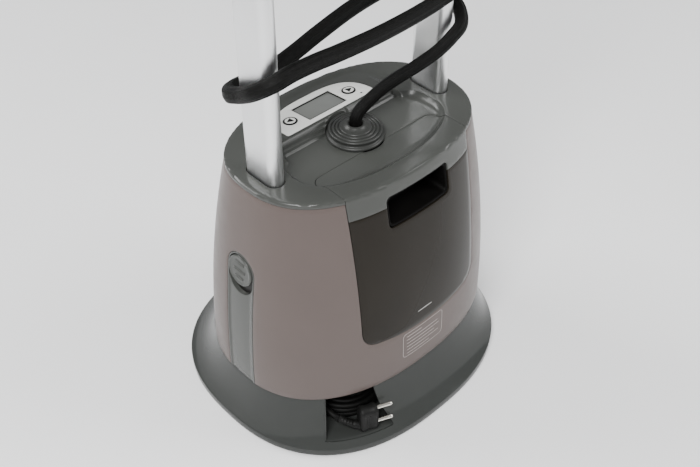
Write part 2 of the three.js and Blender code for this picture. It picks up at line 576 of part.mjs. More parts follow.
// ---------------------------------------------------------------- steam head
// half width, half depth, squareness, centre y, height
const headForm = [
  [11.5, 11.5, 2, -60, HEAD.low], [13.5, 14, 2, -60, 632], [16, 17, 2.1, -60, 668],
  [16.5, 18, 2.2, -60, 705], [15.5, 16.5, 2.1, -60, 740], [14.5, 14.5, 2, -60, 758],
  [15, 14.8, 2.1, -60, HEAD.neck + 5.5], [27, 19, 2.4, -61, 779], [48, 24, 2.8, -64, 790],
  [59, 27, 3.2, -66, 803], [61, 28, 3.3, -67, 818], [57, 26, 3.2, -67, 831],
  [44, 19, 2.8, -66, 838], [22, 9, 2.2, -66, HEAD.top],
];
const headSkin = skin(headForm.map(([a, b, n, y, z]) => outline({ a, b, n, y }, z, 0, 20)));
const TRIGGER = { half: 7, low: 706, high: 752, back: -70 };
const triggerPocket = box(-TRIGGER.half - 0.5, TRIGGER.half + 0.5, -100, TRIGGER.back,
  TRIGGER.low - 0.5, TRIGGER.high + 0.5);
const triggerPin = rodX(1.9, -11, 11, -73.2, 748, 12);
add('head_shell', cut(headSkin, box(-80, 80, -120, HEAD.face, 770, 850), triggerPocket,
  triggerPin), SILVER);
const lever = new THREE.Shape();
lever.moveTo(TRIGGER.back - 1, TRIGGER.high - 0.3).lineTo(TRIGGER.back - 7, TRIGGER.high - 0.3);
lever.quadraticCurveTo(TRIGGER.back - 13, 730, TRIGGER.back - 11.5, TRIGGER.low + 0.5);
lever.lineTo(TRIGGER.back - 7.5, TRIGGER.low + 0.5);
lever.quadraticCurveTo(TRIGGER.back - 5, 732, TRIGGER.back - 1, TRIGGER.high - 0.3);
add('head_trigger', join(alongX(lever, -TRIGGER.half, TRIGGER.half, 5),
  rodX(1.6, -9.5, 9.5, -73.2, 748, 12)), BLACK);

const facePlate = (a, b) => new THREE.Shape(outline({ a, b, n: 3, y: 811 }, 0, 0, 20)
  .map(([x, y]) => new THREE.Vector2(x, y)));
const steamHoles = [-32, -16, 0, 16, 32].flatMap((x) => [[x, 804], [x, 818]]);
add('head_faceplate', cut(alongY(facePlate(52, 20), HEAD.face - 4, HEAD.face - GAP),
  ...steamHoles.map(([x, z]) => rodY(2, x, HEAD.face - 8, HEAD.face + 4, z, 6))), STEEL);
add('hose_cuff', lathe([[0, 585], [9.6, 585], [12.6, HEAD.low - 8], [12.6, HEAD.low - GAP],
  [0, HEAD.low - GAP]], 16).translate(0, HEAD.y, 0), RUBBER);

// ---------------------------------------------------------------- hanger
const hangerBar = join(
  alongX(roundedRect(POLE.y - 13, POLE.y + 13, 843, 869, 8), -127, 127, 3),
  ...SIDES.map(([, sign]) => alongZ(obround(sign * POLE.x, POLE.y, 11.5, 25.5), 818, 850)));
const hingeAt = { x: 112, z: 878, r: 2 };
const lug = (sign, end) => box(sign * hingeAt.x - 5, sign * hingeAt.x + 5,
  POLE.y + end * 10.5 - 1.8, POLE.y + end * 10.5 + 1.8, 866, 883);
add('hanger_bar', cut(join(hangerBar, ...SIDES.flatMap(([, sign]) => [lug(sign, -1), lug(sign, 1)])),
  ...SIDES.flatMap(([, sign]) => [
    alongZ(obround(sign * POLE.x, POLE.y, INNER.hx + GAP, INNER.hy + GAP), 800,
      INNER.high + GAP),
    rodY(hingeAt.r + 0.3, sign * hingeAt.x, POLE.y - 20, POLE.y + 20, hingeAt.z, 10)])), BLACK);
for (const [side, sign] of SIDES) {
  const at = sign * hingeAt.x;
  const reach = -sign * 104;
  const arm = alongY(polygon([[at, 873.6], [at + reach, 874.6], [at + reach, 880.4], [at, 882.4]]),
    POLE.y - 8, POLE.y + 8);
  const tip = box(Math.min(at + reach, at + reach + sign * 8),
    Math.max(at + reach, at + reach + sign * 8), POLE.y - 8, POLE.y + 8, 872, 884);
  add(`hanger_arm_${side}`, join(arm, tip,
    rodY(4.6, at, POLE.y - 8, POLE.y + 8, hingeAt.z, 10),
    rodY(hingeAt.r, at, POLE.y - 12, POLE.y + 12, hingeAt.z, 10)), GREY);
}

// ---------------------------------------------------------------- steam hose
const hoseRoute = [
  [0, GLAND.y, GLAND.top + GAP], [0.1, GLAND.y, 341], [4, -21.2, 347], [13, -22.4, 353.5],
  [24, -24.6, 360.5], [35, -27.8, 367], [48, -32, 373], [66, -37.8, 380], [80, -42.5, 386.5],
  [93, -46.5, 393.5], [107, -48.8, 402.5], [122, -47, 410], [132.6, -34.6, 419], [133.4, -15, 430],
  [132.6, 3.4, 438], [122, 15.8, 442], [98, 17.6, 442.5], [36, 17.6, 438.5], [-18, 17.6, 427],
  [-43, 17.6, 420.2], [-68, 17.6, 415], [-98, 17.6, 413], [-122, 15.8, 414.5], [-132.6, 3.4, 419],
  [-133.4, -15, 428], [-132.6, -34.6, 441], [-122, -47, 450.5], [-104, -48.8, 453.5],
  [-76, -47.8, 452], [-50, -47.6, 449.7], [0, -47.6, 447.5], [50, -47.6, 448.5], [84, -48.2, 452],
  [107, -48.8, 457], [122, -47, 464.5], [132.6, -34.6, 474], [133.4, -15, 484], [132.6, 3.4, 492],
  [122, 15.8, 497], [98, 17.6, 499.5], [40, 17.6, 507], [-40, 17.6, 517], [-98, 17.6, 521],
  [-122, 15.8, 524], [-132.6, 3.4, 530], [-133.4, -15, 537], [-132.6, -34.6, 544], [-122, -47, 549],
  [-104, -49.8, 551], [-80, -52.5, 550.5], [-56, -56, 548.5], [-34, -58.5, 548.5],
  [-16, -59.5, 552.5], [-4.5, -60, 561.5], [-0.3, HEAD.y, 574], [0, HEAD.y, 584.6],
];
add('steam_hose', tube(hoseRoute, HOSE_D, 80, 8), WOVEN);

// ---------------------------------------------------------------- mains cord and plug in the bay
const cordZ = BAY.floor + GAP + CORD_D / 2;
add('cord_relief', placed(lathe([[0, 0], [7.5, 0], [7.5, 2.5], [4.9, 2.5], [4.9, 5],
  [7, 5], [4.6, 30], [0, 30]], 16).rotateX(Math.PI / 2)
  .translate(reliefAt.u, BAY.depth + 4.7, reliefAt.z)), RUBBER);
const coilLow = BAY.floor + GAP;
const coilHigh = coilLow + COIL.high;
const coilIn = COIL.r - COIL.across / 2, coilOut = COIL.r + COIL.across / 2;
add('cord_coil', placed(lathe([[coilIn, coilLow + 3], [coilIn + 3, coilLow], [coilOut - 3, coilLow],
  [coilOut, coilLow + 3], [coilOut, coilHigh - 3], [coilOut - 3, coilHigh],
  [coilIn + 3, coilHigh], [coilIn, coilHigh - 3], [coilIn, coilLow + 3]], 20)
  .translate(COIL.u, COIL.v, 0)), RUBBER);

const PLUG = { u0: -1, u1: 20, v: 1.6, z: BAY.floor + 19.2, half: 8.5, tall: 18.9, pin: 18.4 };
const TAIL = { start: [4, 0.4, 25.5], middle: [-10, 5.8, 30.2], end: [-21, 11.8, 36.2], across: 11 };
const leadIn = [[reliefAt.u, BAY.depth - 25.8, reliefAt.z], [reliefAt.u, 88, reliefAt.z - 0.6],
  [reliefAt.u, 80, cordZ + 1], [reliefAt.u, 72, cordZ], [reliefAt.u, 64, cordZ]];
add('cord_lead', placed(tube(leadIn, CORD_D, 6)), RUBBER);
const over = coilHigh + GAP + CORD_D / 2;
const leadOut = [[COIL.u - COIL.r, 62, over], [COIL.u - COIL.r, 46, over], [-33.8, 33, over - 0.4],
  [-29.6, 21, over - 2], [-25, 14.6, 38.7], [-21.5, 12.1, 36.5]];
add('power_cord', placed(tube(leadOut, CORD_D, 16)), RUBBER);

const plugBlock = alongX(roundedRect(PLUG.v - PLUG.half, PLUG.v + PLUG.half,
  PLUG.z - PLUG.tall, PLUG.z + PLUG.tall, 8), PLUG.u0, PLUG.u1);
const plugTail = tube([TAIL.start, TAIL.middle, TAIL.end], TAIL.across, 6);
add('plug_body', placed(join(plugBlock, plugTail)), RUBBER);
for (const [where, up, out] of [['upper', 13.1, 0], ['lower', -5.9, 3.4]]) {
  add(`plug_pin_${where}`, placed(rodX(2.4, PLUG.u1 + GAP, PLUG.u1 + PLUG.pin, PLUG.v - out,
    PLUG.z + up, 12)), BRASS);
}

export default root;
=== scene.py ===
"""An upright garment steamer in a small photo studio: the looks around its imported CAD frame.

Sizes are in millimetres until a mesh is made; Blender's own units are metres, in the CAD's frame.
+Z is up, the water tank faces -Y and the poles stand at -X (left) and +X (right).
"""
import math

import bmesh
import bpy
import numpy as np
from mathutils import Matrix, Vector, geometry


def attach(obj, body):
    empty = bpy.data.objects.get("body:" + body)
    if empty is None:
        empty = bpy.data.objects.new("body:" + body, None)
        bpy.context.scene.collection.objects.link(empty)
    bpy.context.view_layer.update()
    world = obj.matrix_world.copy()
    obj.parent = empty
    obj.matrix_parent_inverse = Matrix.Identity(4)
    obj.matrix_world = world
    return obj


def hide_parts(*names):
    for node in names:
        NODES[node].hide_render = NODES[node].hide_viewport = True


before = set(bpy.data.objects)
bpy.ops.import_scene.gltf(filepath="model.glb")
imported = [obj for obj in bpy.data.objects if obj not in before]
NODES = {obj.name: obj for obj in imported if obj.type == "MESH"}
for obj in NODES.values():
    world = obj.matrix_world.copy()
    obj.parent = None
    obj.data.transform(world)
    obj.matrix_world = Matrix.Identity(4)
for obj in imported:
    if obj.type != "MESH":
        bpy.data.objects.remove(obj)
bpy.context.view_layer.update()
MM = 0.001
TAU = 2 * math.pi
SIDES = (("left", -1), ("right", 1))

# ------------------------------------------------------------------ driving dimensions
BODY_LOW, BODY_TOP, DECK_TOP = 73.0, 321.8, 327.2
BASE = dict(a=185.0, b=165.0, n=2.44, y=0.0)             # half length, half width, squareness, centre
FOOTPRINT = dict(a=168.5, b=124.7, n=2.346, y=-12.6)     # the casing's outline where it meets the base
RIM = dict(a=140.0, b=94.6, n=2.42, y=-14.5)             # and at its top
BULGE = 6.0                      # how far the flanks swell between the two
WALL = 3.0
SEAM = 0.5                       # the line between two casing parts
RIM_TOP, SKIRT_TOP = 12.0, 72.4
SKIRT_FLARE, SKIRT_STRAIGHT = 2.6, 0.5   # how sharply the slope turns up, and its even share
DISH = dict(a=98.0, front=48.0, rear=42.0, y=-40.0, z=320.0)
CONSOLE = dict(crest=11.5, top=331.0, half=76.0, tilt=math.radians(5.75))
PANEL = dict(half=61.3, y=13.0, depth=47.2, n=3.0, thick=1.6)
LCD = dict(x=26.3, y=15.5, at=35.1)
BUTTON = dict(x=41.2, y=33.5, r=7.6)
GLAND = dict(y=-20.9, r=30.5, top=335.0)
TANK = dict(half=84.7, low=133.5, corner=22.0, sag=4.5, rear=-47.0, wall=2.5, top=301.7)
GRIP = dict(half=42.8, low=277.0, high=312.4, corner=6.0)
POLE = dict(x=115.0, y=-15.6, hx=9.15, hy=22.95, wall=1.4, low=205.0, high=780.0)
INNER = dict(hx=7.3, hy=21.1, wall=1.2, low=232.0, high=842.0)
STRIP = dict(half=20.5, arch=226.0, low=73.3)
LATCH = dict(r=17.8, well=18.8, z=226.0, travel=10.0)
HEAD_Y, HEAD_FACE = -60.0, -86.0
BRIDGE = dict(low=761, high=785, half=112, collar_low=752, collar_high=792)
CRADLE = dict(low=764, high=769, front=-90, rear=-29, fork=30)
HANGER = dict(low=843, high=869, half=127, socket_low=818, socket_high=850)
STEAM_PLATE = dict(z=811.0, a=52, b=20, rear=-86.3, front=-89.7, rows=(804, 818), pitch=16)
TRIGGER_PIN = (-73.2, 748.0)     # y, z
CLAMP_PIN = (134.5, 786.0)       # x on the right side, z
HANGER_PIN = (112.0, 878.0)      # the same
VALVE_Y = -80.0
LAMP = (46.7, 6.4)               # on the panel's own plane
FEET = {"foot_front_left": (-105, -95), "foot_front_right": (105, -95),
        "foot_rear_left": (-105, 100), "foot_rear_right": (105, 100)}
HOSE_D, CORD_D = 15.5, 7.0
BAY = dict(x=-98.0, y=-132.7, angle=math.radians(-23.5), floor=18.0, depth=118.0)
# along the bay's opening and up; None is the height of the mouth's sill
BAY_MOUTH = [(-34, 90), (-42, None), (39.5, None), (25.6, 48.6), (17, 90)]
COIL = dict(u=4.0, v=66.0, r=39.0, low=18.3, high=39.3, over=3.8)
RELIEF = dict(u=-46.0, z=26.4)
PLUG = dict(u0=-1.0, u1=20.0, v=1.6, z=37.2, half=8.5, tall=18.9, pin=18.4)
TAIL = [(4, 0.4, 25.5), (-10, 5.8, 30.2), (-21, 11.8, 36.2)]   # the plug's tapered tail, in the bay's frame


# ------------------------------------------------------------------ camera, floor and lights
EYE, TARGET = (-560.2, -605.9, 919.8), (0, -12.6, 177.0)
LENS, SENSOR = 50.17, 36.0       # focal length and sensor width
SKY, SKY_STRENGTH = (0.95, 0.97, 1.0, 1), 0.4
# name, place and aim in metres, size in metres, watts
SOFTBOXES = [
    ("key", (-1.7, -1.1, 2.4), (0, 0, 0.2), (1.4, 1.4), 130),
    ("fill", (1.7, -1.5, 1.7), (0, 0, 0.3), (1.4, 1.8), 55),
    ("back", (-1.3, 2.2, 2.3), (0, 0, 0.3), (1.8, 1.0), 75),
]
FLOOR_REACH, FLOOR_THICK, FLOOR_TOP = 9000, 40, -0.2


def aimed(name, data, place, aim):
    """Adds a camera or a light that looks from a place at another."""
    obj = bpy.data.objects.new(name, data)
    obj.location = place
    obj.rotation_euler = (Vector(aim) - Vector(place)).to_track_quat("-Z", "Y").to_euler()
    bpy.context.scene.collection.objects.link(obj)
    return obj


def place_camera():
    data = bpy.data.cameras.new("camera")
    data.lens, data.sensor_width = LENS, SENSOR
    data.clip_start, data.clip_end = 0.05, 40
    bpy.context.scene.camera = aimed("camera", data, Vector(EYE) * MM, Vector(TARGET) * MM)


def light_studio():
    world = bpy.data.worlds.new("studio")
    bpy.context.scene.world = world
    world.use_nodes = True
    sky = world.node_tree.nodes["Background"].inputs
    sky["Color"].default_value, sky["Strength"].default_value = SKY, SKY_STRENGTH
    for name, place, aim, size, power in SOFTBOXES:
        data = bpy.data.lights.new(name, "AREA")
        data.shape, data.energy = "RECTANGLE", power
        data.size, data.size_y = size
        aimed(name, data, place, aim)


# ------------------------------------------------------------------ points and outlines
def mix(p, q, t):
    return p + (q - p) * t


def blend(p, q, t):
    return {key: mix(p[key], q[key], t) for key in p}


def smooth(t):
    t = np.clip(t, 0, 1)
    return t * t * (3 - 2 * t)


def superellipse(shape, phi, inset=0.0):
    """A rounded outline between an ellipse (n = 2) and a box (n large)."""
    c, s = np.cos(phi), np.sin(phi)
    x = (shape["a"] - inset) * np.sign(c) * np.abs(c) ** (2 / shape["n"])
    y = (shape["b"] - inset) * np.sign(s) * np.abs(s) ** (2 / shape["n"])
    return x, y + shape["y"]


def angle_on(shape, x, y, inset=0.0):
    """The outline's own angle in the direction of a point."""
    px, py = x / (shape["a"] - inset), (y - shape["y"]) / (shape["b"] - inset)
    half = shape["n"] / 2
    return np.arctan2(np.sign(py) * np.abs(py) ** half, np.sign(px) * np.abs(px) ** half)


def ring(count, start=0.0):
    return start + TAU * np.arange(count) / count


def casing_form(z):
    """The casing's outline at a height, and how far it is pulled in there."""
    t = np.clip((z - BODY_LOW) / (BODY_TOP - BODY_LOW), 0, 1)
    return blend(FOOTPRINT, RIM, t), -BULGE * 4 * t * (1 - t)


def casing(phi, z, inset=0.0):
    form, pulled = casing_form(z)
    x, y = superellipse(form, phi, inset + pulled)
    return np.stack([x, y, z + 0 * x], -1)


def phi_at_x(x, z):
    """The angle at which the casing's front is at x."""
    form, pulled = casing_form(z)
    c = np.clip(np.abs(x) / (form["a"] - pulled), 0, 1) ** (form["n"] / 2)
    return -np.arccos(np.sign(x) * c)


def on_front(flat, inset=0.0):
    """Lays (x, z) points on the casing's front, or at a depth behind it."""
    phi = np.array([phi_at_x(x, z) for x, z in flat])
    return casing(phi, flat[:, 1], inset)


def phi_at_y(y, z, sign):
    """The angle at which the casing's left (-1) or right (+1) end is at y."""
    form, pulled = casing_form(z)
    s = (y - form["y"]) / (form["b"] - pulled)
    up = np.arcsin(np.sign(s) * np.abs(s) ** (form["n"] / 2))
    return up if sign > 0 else -math.pi - up


def rounded(points, radius, steps=6):
    """A closed outline with each corner turned into an arc."""
    points = [np.asarray(p, float) for p in points]
    radii = radius if hasattr(radius, "__len__") else [radius] * len(points)
    out = []
    for i, p in enumerate(points):
        before, after = points[i - 1] - p, points[(i + 1) % len(points)] - p
        reach = min(np.linalg.norm(before), np.linalg.norm(after))
        u, w = before / np.linalg.norm(before), after / np.linalg.norm(after)
        turn = math.acos(max(-1.0, min(1.0, float(u @ w))))
        if radii[i] <= 0 or turn > math.pi - 0.02:
            out.append(p)
            continue
        cut = min(radii[i] / math.tan(turn / 2), 0.49 * reach)
        r = cut * math.tan(turn / 2)
        centre = p + (u + w) / np.linalg.norm(u + w) * (r / math.sin(turn / 2))
        start, end = p + u * cut - centre, p + w * cut - centre
        sweep = math.atan2(start[0] * end[1] - start[1] * end[0], float(start @ end))
        for k in range(steps + 1):
            a = sweep * k / steps
            spun = (start[0] * math.cos(a) - start[1] * math.sin(a),
                    start[0] * math.sin(a) + start[1] * math.cos(a))
            out.append(centre + spun)
    return np.array(out)


def filled(points, step, closed=True):
    """The same line with points no further apart than a step."""
    points = np.asarray(points, float)
    ends = np.roll(points, -1, axis=0) if closed else points[1:]
    out = []
    for p, q in zip(points, ends):
        count = max(1, int(math.ceil(np.linalg.norm(q - p) / step)))
        out += [p + (q - p) * k / count for k in range(count)]
    if not closed:
        out.append(points[-1])
    return np.array(out)


def between(p, q, step=3.0):
    """The inner points of a straight line."""
    return filled([p, q], step, closed=False)[1:-1]


def curve(a, b, c, count=14):
    """A line bent from a to c towards b."""
    a, b, c = np.array(a, float), np.array(b, float), np.array(c, float)
    t = np.linspace(0, 1, count)[:, None]
    return (1 - t) ** 2 * a + 2 * t * (1 - t) * b + t * t * c


def rect(x0, x1, y0, y1, r, steps=6):
    return rounded([(x0, y0), (x1, y0), (x1, y1), (x0, y1)], r, steps)


def arc_points(x, y, r, start, end, count):
    return [(x + r * math.cos(a), y + r * math.sin(a)) for a in np.linspace(start, end, count)]


def obround(x, y, hx, hy, steps=14):
    """A flat tube's section: half-round narrow sides in front and behind."""
    straight = hy - hx
    return np.array(arc_points(x, y + straight, hx, 0, math.pi, steps + 1)
                    + arc_points(x, y - straight, hx, math.pi, TAU, steps + 1))


def circle(x, y, r, count=32):
    a = ring(count)
    return np.stack([x + r * np.cos(a), y + r * np.sin(a)], -1)


def in_bay(points):
    """Points of the cord bay's own frame (along the opening, inwards, up) in the model's frame."""
    p = np.atleast_2d(np.asarray(points, float))
    c, s = math.cos(BAY["angle"]), math.sin(BAY["angle"])
    x = BAY["x"] + p[:, 0] * c - p[:, 1] * s
    y = BAY["y"] + p[:, 0] * s + p[:, 1] * c
    return np.stack([x, y, p[:, 2]], -1)


# ------------------------------------------------------------------ meshes
def soft_mesh(name, points, faces):
    mesh = bpy.data.meshes.new(name)
    mesh.from_pydata((np.asarray(points, float) * MM).tolist(), [], faces)
    mesh.validate()
    return mesh


def shade(mesh, angle=40):
    mesh.polygons.foreach_set("use_smooth", [True] * len(mesh.polygons))
    mesh.set_sharp_from_angle(angle=math.radians(angle))


def close_up(mesh, merge=0.01, level=None):
    """Joins points that meet, turns every face outwards and joins faces that are level to an angle."""
    bm = bmesh.new()
    bm.from_mesh(mesh)
    bmesh.ops.remove_doubles(bm, verts=bm.verts, dist=merge * MM)
    bmesh.ops.recalc_face_normals(bm, faces=bm.faces)
    if level:
        bmesh.ops.dissolve_limit(bm, angle_limit=math.radians(level), verts=bm.verts, edges=bm.edges)
    bm.to_mesh(mesh)
    bm.free()


def make(name, mesh):
    obj = bpy.data.objects.new(name, mesh)
    bpy.context.scene.collection.objects.link(obj)
    return obj


def settle(obj, angle=40):
    """Applies the modifiers, so that the mesh is the finished shape."""
    bpy.context.view_layer.update()
    graph = bpy.context.evaluated_depsgraph_get()
    mesh = bpy.data.meshes.new_from_object(obj.evaluated_get(graph))
    obj.modifiers.clear()
    obj.data = mesh
    shade(mesh, angle)
    return obj


def soften(obj, width, segments=2, angle=30):
    bevel = obj.modifiers.new("edges", "BEVEL")
    bevel.width, bevel.segments = width * MM, segments
    bevel.limit_method, bevel.angle_limit = "ANGLE", math.radians(angle)
    bevel.use_clamp_overlap = True
    return obj


def combine(obj, others, operation):
    for other in others:
        step = obj.modifiers.new("combine", "BOOLEAN")
        step.operation, step.solver, step.object = operation, "EXACT", other
    settle(obj)
    for other in others:
        bpy.data.objects.remove(other)
    return obj


def carve(obj, *cutters):
    """Cuts closed solids out of a piece."""
    return combine(obj, cutters, "DIFFERENCE")


def weld(obj, *others):
    """Joins closed solids into one skin."""
    return combine(obj, others, "UNION")


def finish(obj, slot, body, *nodes, look=None):
    obj.data.materials.clear()
    obj.data.materials.append(look or LOOKS[slot])
    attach(obj, body)
    if nodes:
        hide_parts(*nodes)
    return obj


def inside(points, loop):
    """Which points a closed outline holds."""
    x, y = points[:, 0], points[:, 1]
    held = np.zeros(len(points), bool)
    ends = np.roll(loop, -1, axis=0)
    for (x0, y0), (x1, y1) in zip(loop, ends):
        if y0 == y1:
            continue
        crossing = (y0 > y) != (y1 > y)
        held ^= crossing & (x < (x1 - x0) * (y - y0) / (y1 - y0) + x0)
    return held


def clear_of(points, marks, gap):
    """Which points keep a distance from all the marks."""
    keep = np.ones(len(points), bool)
    for start in range(0, len(points), 2000):
        part = points[start:start + 2000]
        away = ((part[:, None, :] - marks[None, :, :]) ** 2).sum(-1).min(1)
        keep[start:start + 2000] = away > gap * gap
    return keep


def loop_edges(loops):
    """The edges of closed outlines whose points follow one another, and the points' count."""
    edges, first = [], 0
    for loop in loops:
        edges += [(first + k, first + (k + 1) % len(loop)) for k in range(len(loop))]
        first += len(loop)
    return edges, first


def within(points, loops):
    """Which points the first outline holds and none of the others does."""
    keep = inside(points, loops[0])
    for hole in loops[1:]:
        keep &= ~inside(points, hole)
    return keep


def triangles(points, edges, loops):
    """Divides the space inside the outlines into triangles that keep the edges."""
    flat = [Vector(p) for p in points]
    points, _, faces = geometry.delaunay_2d_cdt(flat, edges, [], 0, 1e-5)[:3]
    points, faces = np.array([tuple(p) for p in points]), np.array(faces)
    return points, faces[within(points[faces].mean(1), loops)]


def sheet(outer, holes, step, place, creases=()):
    """A net of triangles inside a flat outline, with holes and creases, laid on a surface.

    place turns the flat points into points of the model.
    """
    loops = [np.asarray(loop, float) for loop in (outer, *holes)]
    marks = np.concatenate([*loops, *creases])
    edges, first = loop_edges(loops)
    for line in creases:
        edges += [(first + k, first + k + 1) for k in range(len(line) - 1)]
        first += len(line)
    low, high = loops[0].min(0), loops[0].max(0)
    columns = np.arange(low[0] + step / 2, high[0], step)
    rows = np.arange(low[1] + step / 2, high[1], step)
    grid = np.array(np.meshgrid(columns, rows)).reshape(2, -1).T
    grid = grid[within(grid, loops)]
    grid = grid[clear_of(grid, marks, 0.6 * step)]
    points, faces = triangles(np.concatenate([marks, grid]), edges, loops)
    used = np.unique(faces)
    renumber = np.zeros(len(points), int)
    renumber[used] = np.arange(len(used))
    return place(points[used]), renumber[faces].tolist()


def shell(name, points, faces, thick, edge=0.5, outward=None):
    """A sheet given a wall on its inner side and softened edges. outward tells which side is out."""
    mesh = soft_mesh(name, points, faces)
    close_up(mesh)
    probe = max(mesh.polygons, key=lambda p: p.area)
    aim = outward or (lambda c: Vector((c.x, c.y, 0)))
    if probe.normal.dot(aim(probe.center)) < 0:
        mesh.flip_normals()
    obj = make(name, mesh)
    wall = obj.modifiers.new("wall", "SOLIDIFY")
    wall.thickness, wall.offset = thick * MM, -1
    wall.use_quality_normals = True
    if edge:
        soften(obj, edge, 2, 50)
    return settle(obj)


def loft(name, rings, closed=False, capped=True):
    """A skin over rings of points with the same count."""
    count = len(rings[0])
    points = np.concatenate(rings)
    faces = []
    for i in range(len(rings) if closed else len(rings) - 1):
        low, high = i * count, ((i + 1) % len(rings)) * count
        faces += [(low + j, low + (j + 1) % count, high + (j + 1) % count, high + j)
                  for j in range(count)]
    if capped and not closed:
        faces.append(tuple(reversed(range(count))))
        faces.append(tuple(range(points.shape[0] - count, points.shape[0])))
    mesh = soft_mesh(name, points, faces)
    close_up(mesh)
    return make(name, mesh)


def lathe(name, profile, sides=64, closed=False):
    """A turned shape about Z: (radius, height) points that start and end on the axis, or close."""
    a = ring(sides)
    rings = [np.stack([r * np.cos(a), r * np.sin(a), np.full(sides, z)], -1) for r, z in profile]
    return loft(name, rings, closed=closed, capped=False)


def prism(name, outline, low, high, holes=(), axis="z"):
    """A flat outline given a height. axis y: the outline is XZ; axis x: the outline is YZ."""
    loops = [np.asarray(loop, float) for loop in (outline, *holes)]
    edges, _ = loop_edges(loops)
    corners, faces = triangles(np.concatenate(loops), edges, loops)
    faces, count = faces.tolist(), len(corners)
    skin = [tuple(reversed(f)) for f in faces] + [tuple(k + count for k in f) for f in faces]
    skin += [(a, b, b + count, a + count) for a, b in edges]
    points = np.concatenate([np.column_stack([corners, np.full(count, z)]) for z in (low, high)])
    if axis == "y":
        points = points[:, [0, 2, 1]]
    if axis == "x":
        points = points[:, [2, 0, 1]]
    mesh = soft_mesh(name, points, skin)
    close_up(mesh, 0.001, level=0.5)
    return make(name, mesh)


def block(name, x0, x1, y0, y1, z0, z1, r=0.0):
    return prism(name, rect(x0, x1, y0, y1, r), z0, z1)


def rod(name, r, start, end, sides=40):
    """A round bar between two points."""
    start, end = Vector(start), Vector(end)
    length = (end - start).length
    obj = prism(name, circle(0, 0, r, sides), 0, length)
    turn = (end - start).to_track_quat("Z", "Y").to_matrix().to_4x4()
    obj.data.transform(Matrix.Translation(start * MM) @ turn)
    return obj


def rod_across(name, r, half, y, z, sides=24):
    """A round bar along X, centred on the model's middle plane."""
    return rod(name, r, (-half, y, z), (half, y, z), sides)


def rod_deep(name, r, x, half, z, sides=24):
    """A round bar along Y, centred on the poles' middle plane."""
    return rod(name, r, (x, POLE["y"] - half, z), (x, POLE["y"] + half, z), sides)


def moved(obj, matrix):
    obj.data.transform(matrix)
    return obj


def shift(x, y, z):
    return Matrix.Translation(Vector((x, y, z)) * MM)


def ribbed(count, z, pitch, r, widening, offsets):
    """A profile's ribs: (radius, height) offsets repeated at a pitch."""
    return [(r + widening * k + dr, z + pitch * k + dz) for k in range(count) for dr, dz in offsets]


def turned(name, profile, sides, place, sharp=40, closed=False):
    """A turned shape set in its place, smooth but for edges sharper than an angle."""
    obj = moved(lathe(name, profile, sides, closed), place)
    shade(obj.data, sharp)
    return obj


# ------------------------------------------------------------------ materials
class Finish:
    """A node-based finish around one Principled shader."""

    def __init__(self, name, colour, roughness, **values):
        self.material = bpy.data.materials.new(name)
        self.material.use_nodes = True
        self.tree = self.material.node_tree
        self.shader = self.tree.nodes["Principled BSDF"]
        self.colour = (*colour, 1)
        self.set("Base Color", self.colour)
        self.set("Roughness", roughness)
        for key, value in values.items():
            self.set(key.replace("_", " "), value)
        self.places = self.node("ShaderNodeTexCoord").outputs["Object"]
        self.relief = None

    def set(self, socket, value):
        self.shader.inputs[socket].default_value = value

    def node(self, kind, **inputs):
        node = self.tree.nodes.new(kind)
        for key, value in inputs.items():
            node.inputs[key.replace("_", " ")].default_value = value
        return node

    def link(self, start, end):
        self.tree.links.new(start, end)

    def stretched(self, scale, source=None):
        """Coordinates scaled per axis, in features per metre."""
        mapping = self.node("ShaderNodeMapping")
        mapping.inputs["Scale"].default_value = scale
        self.link(source or self.places, mapping.inputs["Vector"])
        return mapping.outputs["Vector"]

    def noise(self, scale, detail=3.0, rough=0.5, source=None):
        node = self.node("ShaderNodeTexNoise", Scale=1.0, Detail=detail, Roughness=rough)
        size = scale if hasattr(scale, "__len__") else (scale, scale, scale)
        self.link(self.stretched(size, source), node.inputs["Vector"])
        return node.outputs["Fac"]

    def ranged(self, value, low, high):
        """A noise's usual range, 0.3 to 0.7, turned into another."""
        node = self.node("ShaderNodeMapRange", From_Min=0.3, From_Max=0.7, To_Min=low, To_Max=high)
        self.link(value, node.inputs["Value"])
        return node.outputs["Result"]

    def maths(self, operation, a, b=None):
        node = self.node("ShaderNodeMath")
        node.operation = operation
        for slot, value in enumerate((a, b)):
            if value is None:
                continue
            if isinstance(value, (int, float)):
                node.inputs[slot].default_value = value
            else:
                self.link(value, node.inputs[slot])
        return node.outputs[0]

    def tinted(self, value, *stops):
        """A colour ramp on the base colour: (position, colour) pairs."""
        ramp = self.node("ShaderNodeValToRGB")
        elements = ramp.color_ramp.elements
        while len(elements) < len(stops):
            elements.new(0.5)
        for element, (at, colour) in zip(elements, stops):
            element.position, element.color = at, (*colour, 1)
        self.link(value, ramp.inputs["Fac"])
        self.link(ramp.outputs["Color"], self.shader.inputs["Base Color"])

    def glossed(self, value, low, high):
        self.link(self.ranged(value, low, high), self.shader.inputs["Roughness"])

    def bump(self, height, strength, depth):
        """Relief of a depth in millimetres, over any earlier relief."""
        node = self.node("ShaderNodeBump", Strength=strength, Distance=depth * MM)
        self.link(height, node.inputs["Height"])
        if self.relief:
            self.link(self.relief, node.inputs["Normal"])
        self.relief = node.outputs["Normal"]
        self.link(self.relief, self.shader.inputs["Normal"])


def shaded(colour, factor):
    return tuple(min(1.0, c * factor) for c in colour)


